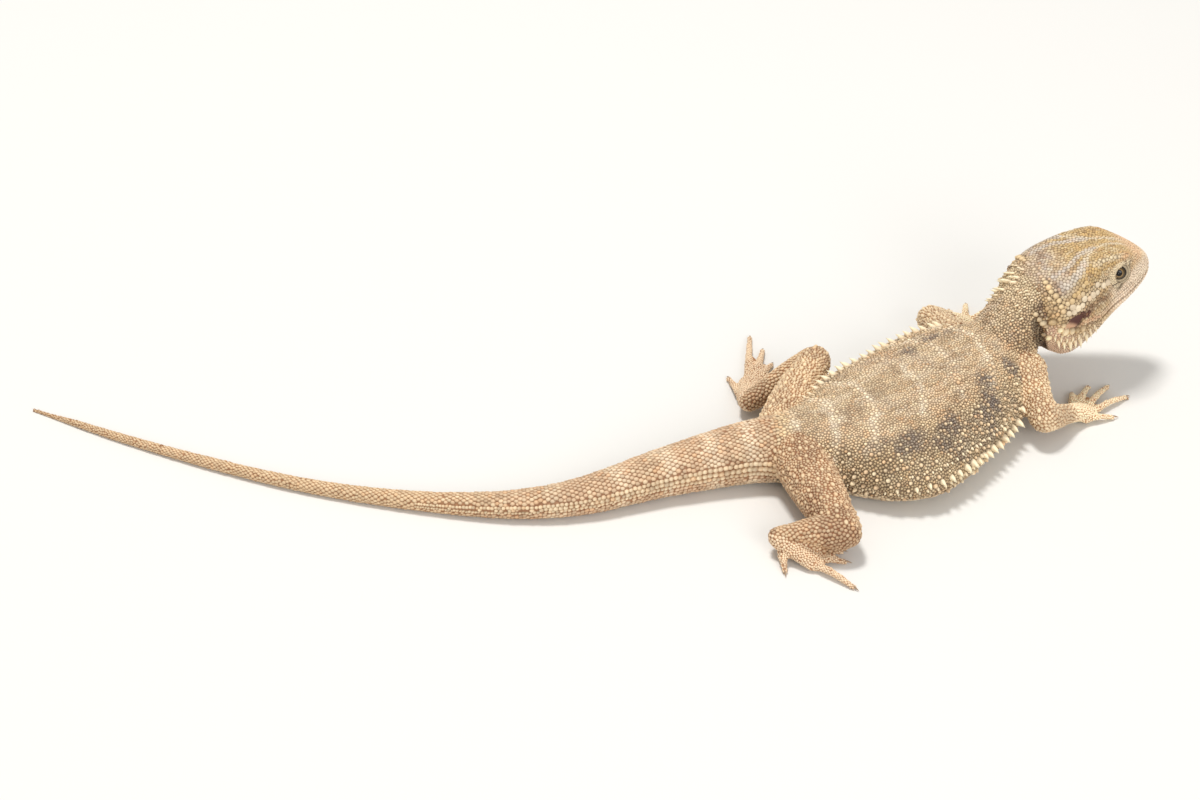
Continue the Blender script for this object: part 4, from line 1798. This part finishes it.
GAZE = {"right": (-0.31, 0.80, 0.46), "left": (0.05, -0.93, 0.32)}  # in the head's frame
LID_AXIS = {"right": (-0.24, 0.86, 0.44), "left": (-0.10, -0.92, 0.36)}
LID_PROFILE = (  # degrees from the lid's axis, radius from the eye's middle
    (0.0, 3.74), (0.0, 4.02), (3.5, 4.16), (9.0, 4.24), (15.0, 4.32), (21.0, 4.40),
    (27.0, 4.50), (33.0, 4.62), (40.0, 4.74), (50.0, 4.78), (62.0, 4.6),
)
LID_EDGE = (43.0, 39.0)  # the opening's half angles, along the head and up
LID_SIDES = 72
EYE_RINGS = 56
EYE_SIDES = 64


def eye_middle(side):
    return in_head(np.array(EYE_AT) * (1, 1 if side == "right" else -1, 1))


def axes_round(axis):
    """An axis given in the head's frame as a model direction, with the ahead and up directions across it."""
    out = unit(HEAD_AHEAD * axis[0] + HEAD_RIGHT * axis[1] + HEAD_UP * axis[2])
    ahead = lying(HEAD_AHEAD, out)
    up = np.cross(out, ahead)
    if up @ HEAD_UP < 0:
        up = -up
    return out, ahead, up


def lid_way(axes, turn, spread, corner):
    """The direction from the eye's middle to a place on its lids, and the way across them there."""
    out, ahead, up = axes
    c, s = math.cos(turn), math.sin(turn)
    opening = 1.0 / math.sqrt((c / LID_EDGE[0]) ** 2 + (s / LID_EDGE[1]) ** 2)
    angle = math.radians(opening + spread + corner * max(0.0, -c) ** 8)
    flat = ahead * c + up * s
    return out * math.cos(angle) + flat * math.sin(angle), flat


def lid_mesh(side):
    """The lids of one eye: a wrinkled band that closes on the eyeball and runs in under the skin."""
    axes = axes_round(LID_AXIS[side])
    middle = eye_middle(side)
    places = []
    for level, (spread, radius) in enumerate(LID_PROFILE):
        wrinkle = 0.045 * math.cos(level * math.pi) * (2 <= level <= 7)
        for k in range(LID_SIDES):
            way, _ = lid_way(axes, 2 * math.pi * k / LID_SIDES, spread, 4.0 if level < 4 else 0.0)
            places.append(middle + way * (radius + wrinkle))
    places, corners = np.array(places), bands(len(LID_PROFILE), LID_SIDES)
    edge = 3 * LID_SIDES
    if point_normals(places, corners)[edge] @ (places[edge] - middle) < 0:
        corners = corners[:, ::-1]
    return places, corners


def add_lids():
    """Joins both eyes' lids to the skin, so that scales can be planted on them."""
    skin = on_bench("skin")
    places, corners, parts = [skin.places], [skin.corners], [skin.parts]
    count = len(skin.places)
    for side in ("right", "left"):
        points, faces = lid_mesh(side)
        places.append(points)
        corners.append(faces + count)
        parts.append(np.full(len(points), FLESH.index("head")))
        count += len(points)
    BENCH["skin"] = Skin(np.concatenate(places), np.concatenate(corners), np.concatenate(parts))


# Rings of lid scales: degrees from the lid's edge, and width.
LID_SCALES = ((5.6, 0.42), (11.5, 0.44), (17.5, 0.48), (24.0, 0.54), (31.0, 0.6), (38.5, 0.68))


def lid_scales(coat, plan):
    """Rings of very small scales on the lids."""
    for side in ("right", "left"):
        axes = axes_round(LID_AXIS[side])
        middle = eye_middle(side)
        for row, (spread, width) in enumerate(LID_SCALES):
            around = 2 * math.pi * 4.2 * math.sin(math.radians(32 + spread))
            count = int(around / (width * 1.02))
            for k in range(count):
                way, flat = lid_way(axes, 2 * math.pi * (k + 0.5 * (row % 2)) / count, spread, 2.0)
                found = plan.skin.cast(middle + way * 7.0, -way, 4.0)
                if found is not None:
                    place, normal, index = found
                    lie, group = lying(flat, normal), f"head_{side}"
                    coat.add(place, normal, lie, width, "granule", group, index, height=0.34, tightness=0.62)


def ball_round(middle, out, radius):
    """A fine sphere whose rings run round the gaze, and each point's angle from it in degrees."""
    rings, sides = EYE_RINGS, EYE_SIDES
    across = unit(np.cross(out, UP))
    other = np.cross(out, across)
    places, angles = [middle + out * radius], [0.0]
    for ring in range(1, rings):
        angle = math.pi * ring / rings
        # The clear front of the eye stands a little proud of the ball.
        proud = radius * (1 + 0.035 * float(1 - ramp(0.3, 0.75, angle)))
        for k in range(sides):
            turn = 2 * math.pi * k / sides
            flat = across * math.cos(turn) + other * math.sin(turn)
            places.append(middle + (out * math.cos(angle) + flat * math.sin(angle)) * proud)
            angles.append(math.degrees(angle))
    places.append(middle - out * radius)
    angles.append(180.0)
    last = len(places) - 1
    corners = [fan(0, 1, sides), bands(rings - 1, sides, 1)[:, ::-1], fan(last, last - sides, sides)[:, ::-1]]
    return np.array(places), np.concatenate(corners), np.array(angles)


def make_eyes():
    """Both eyeballs, each looking its own way, in place of the CAD ones."""
    for side in ("right", "left"):
        out, _, _ = axes_round(GAZE[side])
        places, corners, angles = ball_round(eye_middle(side), out, EYE_RADIUS - 0.05)
        thing = mesh_from(f"eyeball_{side}", places, corners)
        layer = thing.data.attributes.new("gaze_angle", "FLOAT", "POINT")
        layer.data.foreach_set("value", angles.astype(np.float32) / 90.0)
        thing.data.materials.append(eye_material())
        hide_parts(f"eye_{side}")
        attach(thing, "root")


def membrane_mesh(middle, out):
    """A thin dished oval across an ear, with a back and a rim."""
    slant = math.radians(EAR_SLANT)
    long_way = HEAD_AHEAD * math.cos(slant) + HEAD_UP * math.sin(slant)
    short_way = -HEAD_AHEAD * math.sin(slant) + HEAD_UP * math.cos(slant)
    half_long, half_short = EAR_LENGTH / 2 + 0.75, EAR_HEIGHT / 2 + 0.7
    rings, sides = 10, 40
    places = [middle - out * 0.55]
    for ring in range(1, rings + 1):
        share = ring / rings
        for k in range(sides):
            turn = 2 * math.pi * k / sides
            spot = long_way * math.cos(turn) * share * half_long
            spot = spot + short_way * math.sin(turn) * share * half_short
            places.append(middle + spot + out * (-0.55 + 0.75 * share ** 2.2))
    front = np.concatenate([fan(0, 1, sides), bands(rings, sides, 1)[:, ::-1]])
    places = np.array(places)
    count = len(places)
    _, a, b = fan(0, count - sides, sides).T
    wall = [np.stack([a, b, b + count], axis=1), np.stack([a, b + count, a + count], axis=1)]
    faces = np.concatenate([front, front[:, ::-1] + count, *wall])
    whole = np.concatenate([places, places - out * 0.5])
    if point_normals(whole, faces)[0] @ out < 0:
        faces = faces[:, ::-1]
    return whole, faces


def make_eardrums():
    """A thin dished membrane in each ear, in place of the CAD ones."""
    for side, sign in (("right", 1), ("left", -1)):
        middle = node_middle(f"eardrum_{side}") - CENTRING
        places, faces = membrane_mesh(middle, HEAD_RIGHT * sign)
        down = (places - middle) @ unit(HEAD_AHEAD * -0.5 - HEAD_UP * 0.8)
        salmon = mix(hue.orange, hue.pink, 0.5) * 0.8
        colour = mix(hue.umber * (0.3, 0.15, 0.18), salmon, ramp(0.3, 2.2, down))
        thing = mesh_from(f"eardrum_membrane_{side}", places, faces, colour)
        membrane = hide_material("dragon_membrane", roughness=0.42, mottling=0.35, relief=0.02)
        thing.data.materials.append(membrane)
        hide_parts(f"eardrum_{side}")
        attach(thing, "root")


CLAW_LENGTH = 3.3
CLAW_RADIUS = 0.58


def make_claws():
    """Twenty curved claws as one piece, in place of the CAD ones."""
    places, corners, colours = [], [], []
    sides, steps = 10, 9
    for root, tip in (digit for table in LIMBS.values() for digit in table["digits"]):
        count = len(places)
        ahead = unit(np.array((tip[0] - root[0], tip[1] - root[1], 0.0)))
        side = np.cross(ahead, UP)
        base = np.array((*tip, DIGIT_REST)) - ahead * 0.9
        for step in range(steps):
            t = step / (steps - 1)
            radius = CLAW_RADIUS * (1 - t) ** 0.75 + 0.03
            drop = 0.28 * math.sin(math.pi * min(t * 1.15, 1.0)) - 0.55 * t * t
            middle = base + ahead * (CLAW_LENGTH * t) + UP * (drop + 0.12)
            tint = mix(hue.horn, hue.umber * 1.3, 0.5 * (1 - t))
            for k in range(sides):
                turn = 2 * math.pi * k / sides
                places.append(middle + side * math.cos(turn) * radius * 0.8 + UP * (math.sin(turn) * radius))
                colours.append(tint * (0.75 + 0.5 * (math.sin(turn) < 0)))
        places.append(base + ahead * 3.4 + UP * (0.12 - 0.6))
        colours.append(hue.horn * 0.6)
        corners.append(closed_tube(steps, sides, count))
    places, corners = np.array(places), np.concatenate(corners)
    places[:, 2] = np.maximum(places[:, 2], 0.0)
    if point_normals(places, corners)[2] @ (places[2] - places[:sides].mean(axis=0)) < 0:
        corners = corners[:, ::-1]
    thing = mesh_from("claws", places, corners, np.array(colours))
    thing.data.materials.append(hide_material("dragon_horn", roughness=0.38, mottling=0.3, relief=0.015))
    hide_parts(*[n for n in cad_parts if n.startswith("claw_")])
    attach(thing, "root")


# ---------------------------------------------------------------- materials

def shader_node(tree, kind, inputs, operation=None):
    """A node whose inputs, by name or number, are set to values or linked to other nodes' outputs."""
    node = tree.nodes.new("ShaderNode" + kind)
    if operation:
        node.operation = operation
    for socket, value in inputs.items():
        if isinstance(value, bpy.types.NodeSocket):
            tree.links.new(value, node.inputs[socket])
        else:
            node.inputs[socket].default_value = value
    return node


def math_node(tree, operation, *values):
    """The result of a calculation on numbers and other nodes' outputs."""
    return shader_node(tree, "Math", dict(enumerate(values)), operation).outputs[0]


def point_value(tree, name):
    """A value stored for each point of the mesh."""
    node = shader_node(tree, "Attribute", {})
    node.attribute_name = name
    return node


def new_material(name):
    """(material, its Principled BSDF) of a new material."""
    material = bpy.data.materials.new(name)
    material.use_nodes = True
    return material, material.node_tree.nodes["Principled BSDF"]


def grain_group():
    """The scale grain that the hide, the membranes and the claws share: fine mottling and a fine relief."""
    name = "Scale Grain"
    if name in bpy.data.node_groups:
        return bpy.data.node_groups[name]
    group = bpy.data.node_groups.new(name, "ShaderNodeTree")
    for way, label, kind, value in (
        ("INPUT", "Colour", "Color", None), ("INPUT", "Grain Size", "Float", 0.0003),
        ("INPUT", "Mottling", "Float", 0.2), ("INPUT", "Roughness", "Float", 0.6),
        ("OUTPUT", "Colour", "Color", None), ("OUTPUT", "Roughness", "Float", None),
        ("OUTPUT", "Height", "Float", None),
    ):
        socket = group.interface.new_socket(label, in_out=way, socket_type="NodeSocket" + kind)
        if value is not None:
            socket.default_value = value
    given, result = group.nodes.new("NodeGroupInput").outputs, group.nodes.new("NodeGroupOutput").inputs
    spot = shader_node(group, "TexCoord", {}).outputs["Object"]
    per_metre = math_node(group, "DIVIDE", 1.0, given["Grain Size"])
    fine, broad = (
        shader_node(group, "TexNoise", {"Vector": spot, "Scale": scale, "Detail": detail}).outputs["Fac"]
        for scale, detail in ((per_metre, 3.0), (900.0, 2.0))
    )
    centred = math_node(group, "SUBTRACT", math_node(group, "ADD", fine, broad), 1.0)
    amount = math_node(group, "MULTIPLY_ADD", centred, given["Mottling"], 1.0)
    tinted = shader_node(group, "VectorMath", {0: given["Colour"], "Scale": amount}, "SCALE").outputs[0]
    group.links.new(tinted, result["Colour"])
    group.links.new(math_node(group, "MULTIPLY_ADD", centred, 0.25, given["Roughness"]), result["Roughness"])
    group.links.new(fine, result["Height"])
    return group


GRAIN_SIZE = 0.00022  # metres


def hide_material(name, roughness, mottling, relief):
    """A finish with the mesh's own colour and the shared grain; relief is in millimetres."""
    if name in bpy.data.materials:
        return bpy.data.materials[name]
    material, shader = new_material(name)
    tree = material.node_tree
    grain = tree.nodes.new("ShaderNodeGroup")
    grain.node_tree = grain_group()
    grain.inputs["Grain Size"].default_value = GRAIN_SIZE
    grain.inputs["Mottling"].default_value = mottling
    grain.inputs["Roughness"].default_value = roughness
    tree.links.new(point_value(tree, "hide_colour").outputs["Color"], grain.inputs["Colour"])
    tree.links.new(grain.outputs["Colour"], shader.inputs["Base Color"])
    tree.links.new(grain.outputs["Roughness"], shader.inputs["Roughness"])
    ruffled = shader_node(
        tree, "Bump", {"Distance": relief * MM, "Strength": 0.7, "Height": grain.outputs["Height"]}
    )
    tree.links.new(ruffled.outputs["Normal"], shader.inputs["Normal"])
    shader.inputs["Specular IOR Level"].default_value = 0.42
    return material


def eye_material():
    """A wet eye: black round pupil, bronze iris with a ragged dark edge, and nearly black round it."""
    name = "dragon_eye"
    if name in bpy.data.materials:
        return bpy.data.materials[name]
    material, shader = new_material(name)
    tree = material.node_tree
    spot = shader_node(tree, "TexCoord", {}).outputs["Object"]
    rays = shader_node(tree, "TexNoise", {"Vector": spot, "Scale": 1500.0, "Detail": 3.0}).outputs["Fac"]
    ragged = math_node(tree, "MULTIPLY_ADD", rays, 0.035, point_value(tree, "gaze_angle").outputs["Fac"])
    bands_of_colour = shader_node(tree, "ValToRGB", {"Fac": ragged})
    ring = bands_of_colour.color_ramp.elements
    stops = (  # share of a right angle from the gaze, and colour
        (0.0, (0.004, 0.003, 0.003)), (0.20, (0.005, 0.004, 0.003)), (0.225, hue.iris * 0.7),
        (0.25, hue.iris * 0.9), (0.29, hue.iris * 0.3), (0.385, hue.iris * 0.16),
        (0.46, (0.012, 0.008, 0.006)),
    )
    ring[1].position = stops[-1][0]
    for position, _ in stops[1:-1]:
        ring.new(position)
    for stop, (_, colour) in zip(ring, stops):
        stop.color = (*colour, 1)
    tree.links.new(bands_of_colour.outputs["Color"], shader.inputs["Base Color"])
    shader.inputs["Roughness"].default_value = 0.18
    shader.inputs["Specular IOR Level"].default_value = 0.12
    shader.inputs["Coat Weight"].default_value = 0.3
    shader.inputs["Coat Roughness"].default_value = 0.03
    return material


def floor_material():
    """A plain pale studio floor."""
    material, shader = new_material("studio_floor")
    shader.inputs["Base Color"].default_value = (0.80, 0.79, 0.765, 1)
    shader.inputs["Roughness"].default_value = 0.75
    shader.inputs["Specular IOR Level"].default_value = 0.2
    return material


def dress(things, material):
    """Gives pieces their finish, and lets them ride on the model."""
    for thing in things:
        thing.data.materials.append(material)
        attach(thing, "root")


# ---------------------------------------------------------------- the stage

CAMERA_TILT = 35.0  # degrees below the horizon
CAMERA_AWAY = 919.0
CAMERA_LENS = 75.0
FLOOR_REACH = 6  # metres from the middle
SKY_STRENGTH = 0.5
LIGHTS = (  # name, place, what it faces, width and depth in metres, watts and colour
    ("key", (-0.25, 0.35, 2.0), (0.03, 0, 0), 0.4, 0.4, 28.0, (1.0, 0.985, 0.96)),
    ("fill", (0.7, -1.5, 0.85), (0.1, 0, 0), 1.0, 0.8, 13.0, (1.0, 1.0, 1.0)),
)


def area_light(name, place, target, width, depth, watts, colour):
    """A soft rectangular light that faces a target."""
    lamp = bpy.data.lights.new(name, "AREA")
    lamp.shape = "RECTANGLE"
    lamp.size, lamp.size_y = width, depth
    lamp.energy = watts
    lamp.color = colour
    thing = link(name, lamp)
    thing.location = place
    thing.rotation_euler = (Vector(target) - Vector(place)).to_track_quat("-Z", "Y").to_euler()


def make_stage():
    """A pale floor, soft lights from above and the camera at the model's viewing angle."""
    floor = bpy.data.meshes.new("floor")
    far = FLOOR_REACH
    floor.from_pydata([(-far, -far, 0), (far, -far, 0), (far, far, 0), (-far, far, 0)], [], [(0, 1, 2, 3)])
    thing = link("floor", floor)
    floor.materials.append(floor_material())
    world = bpy.data.worlds.new("studio")
    world.use_nodes = True
    sky = world.node_tree.nodes["Background"].inputs
    sky["Color"].default_value = (1.0, 0.99, 0.97, 1)
    sky["Strength"].default_value = SKY_STRENGTH
    bpy.context.scene.world = world
    # Colours are shown as they are painted, without a film curve.
    bpy.context.scene.view_settings.view_transform = "Standard"
    for light in LIGHTS:
        area_light(*light)
    camera = bpy.data.cameras.new("camera")
    camera.lens = CAMERA_LENS
    camera.sensor_width = 36.0
    camera.sensor_fit = "HORIZONTAL"
    camera.clip_start = 0.01
    viewer = link("camera", camera)
    tilt = math.radians(CAMERA_TILT)
    away = CAMERA_AWAY * MM
    viewer.location = Vector(CENTRING * MM) + Vector((0, -math.cos(tilt) * away, math.sin(tilt) * away))
    viewer.rotation_euler = (math.pi / 2 - tilt, 0, 0)
    bpy.context.scene.camera = viewer


# ---------------------------------------------------------------- operators and panel

class DRAGON_OT_stage(bpy.types.Operator):
    """Make the floor, the lights and the camera"""

    bl_idname = "dragon.stage"
    bl_label = "Stage"

    def execute(self, context):
        make_stage()
        return {"FINISHED"}


class DRAGON_OT_skin(bpy.types.Operator):
    """Make the one skin over all the flesh, with its folds and eyelids"""

    bl_idname = "dragon.skin"
    bl_label = "Skin and lids"

    def execute(self, context):
        make_skin()
        add_lids()
        skin = on_bench("skin")
        colour = hide_tone(skin.places, skin.normals, skin.parts, np.zeros(len(skin.places)))
        colour = gap_tone(colour, skin.places, skin.parts)
        thing = mesh_from("skin", skin.places, skin.corners, colour)
        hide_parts(*FLESH)
        hide = hide_material("dragon_skin", roughness=0.62, mottling=0.25, relief=0.03)
        dress([thing], hide)
        return {"FINISHED"}


class DRAGON_OT_scales(bpy.types.Operator):
    """Plant the scales, tubercles and spines over the skin"""

    bl_idname = "dragon.scales"
    bl_label = "Scales and spines"

    def execute(self, context):
        things = make_coat()
        if not things:
            raise RuntimeError("no scale could be planted on the skin")
        dress(things, hide_material("dragon_scales", roughness=0.56, mottling=0.22, relief=0.02))
        return {"FINISHED"}


class DRAGON_OT_eyes(bpy.types.Operator):
    """Make both eyeballs"""

    bl_idname = "dragon.eyes"
    bl_label = "Eyes"

    def execute(self, context):
        make_eyes()
        return {"FINISHED"}


class DRAGON_OT_eardrums(bpy.types.Operator):
    """Make the membranes of both ears"""

    bl_idname = "dragon.eardrums"
    bl_label = "Eardrums"

    def execute(self, context):
        make_eardrums()
        return {"FINISHED"}


class DRAGON_OT_claws(bpy.types.Operator):
    """Make the claws of all four feet"""

    bl_idname = "dragon.claws"
    bl_label = "Claws"

    def execute(self, context):
        make_claws()
        return {"FINISHED"}


OPERATORS = (
    DRAGON_OT_stage, DRAGON_OT_skin, DRAGON_OT_scales, DRAGON_OT_eyes, DRAGON_OT_eardrums, DRAGON_OT_claws,
)


class DRAGON_PT_panel(bpy.types.Panel):
    """Sizes, colours and pieces of the dragon"""

    bl_idname = "DRAGON_PT_panel"
    bl_label = "Bearded Dragon"
    bl_space_type = "VIEW_3D"
    bl_region_type = "UI"
    bl_category = "Bearded Dragon"

    def draw(self, context):
        column = self.layout.column(align=True)
        for operator in OPERATORS:
            column.operator(operator.bl_idname)
        scene = context.scene
        for heading, group in (("Sizes, mm", scene.dragon_sizes), ("Colours", scene.dragon_colours)):
            self.layout.label(text=heading)
            column = self.layout.column(align=True)
            for name in group.bl_rna.properties.keys():
                if name not in ("rna_type", "name"):
                    column.prop(group, name)


CLASSES = (DragonSizes, DragonColours, *OPERATORS, DRAGON_PT_panel)


def register():
    for item in CLASSES:
        bpy.utils.register_class(item)
    bpy.types.Scene.dragon_sizes = bpy.props.PointerProperty(type=DragonSizes)
    bpy.types.Scene.dragon_colours = bpy.props.PointerProperty(type=DragonColours)


def unregister():
    del bpy.types.Scene.dragon_sizes
    del bpy.types.Scene.dragon_colours
    for item in reversed(CLASSES):
        bpy.utils.unregister_class(item)


def main():
    register()
    bpy.ops.dragon.stage()
    bpy.ops.dragon.skin()
    bpy.ops.dragon.scales()
    bpy.ops.dragon.eyes()
    bpy.ops.dragon.eardrums()
    bpy.ops.dragon.claws()


if __name__ == "__main__":
    main()
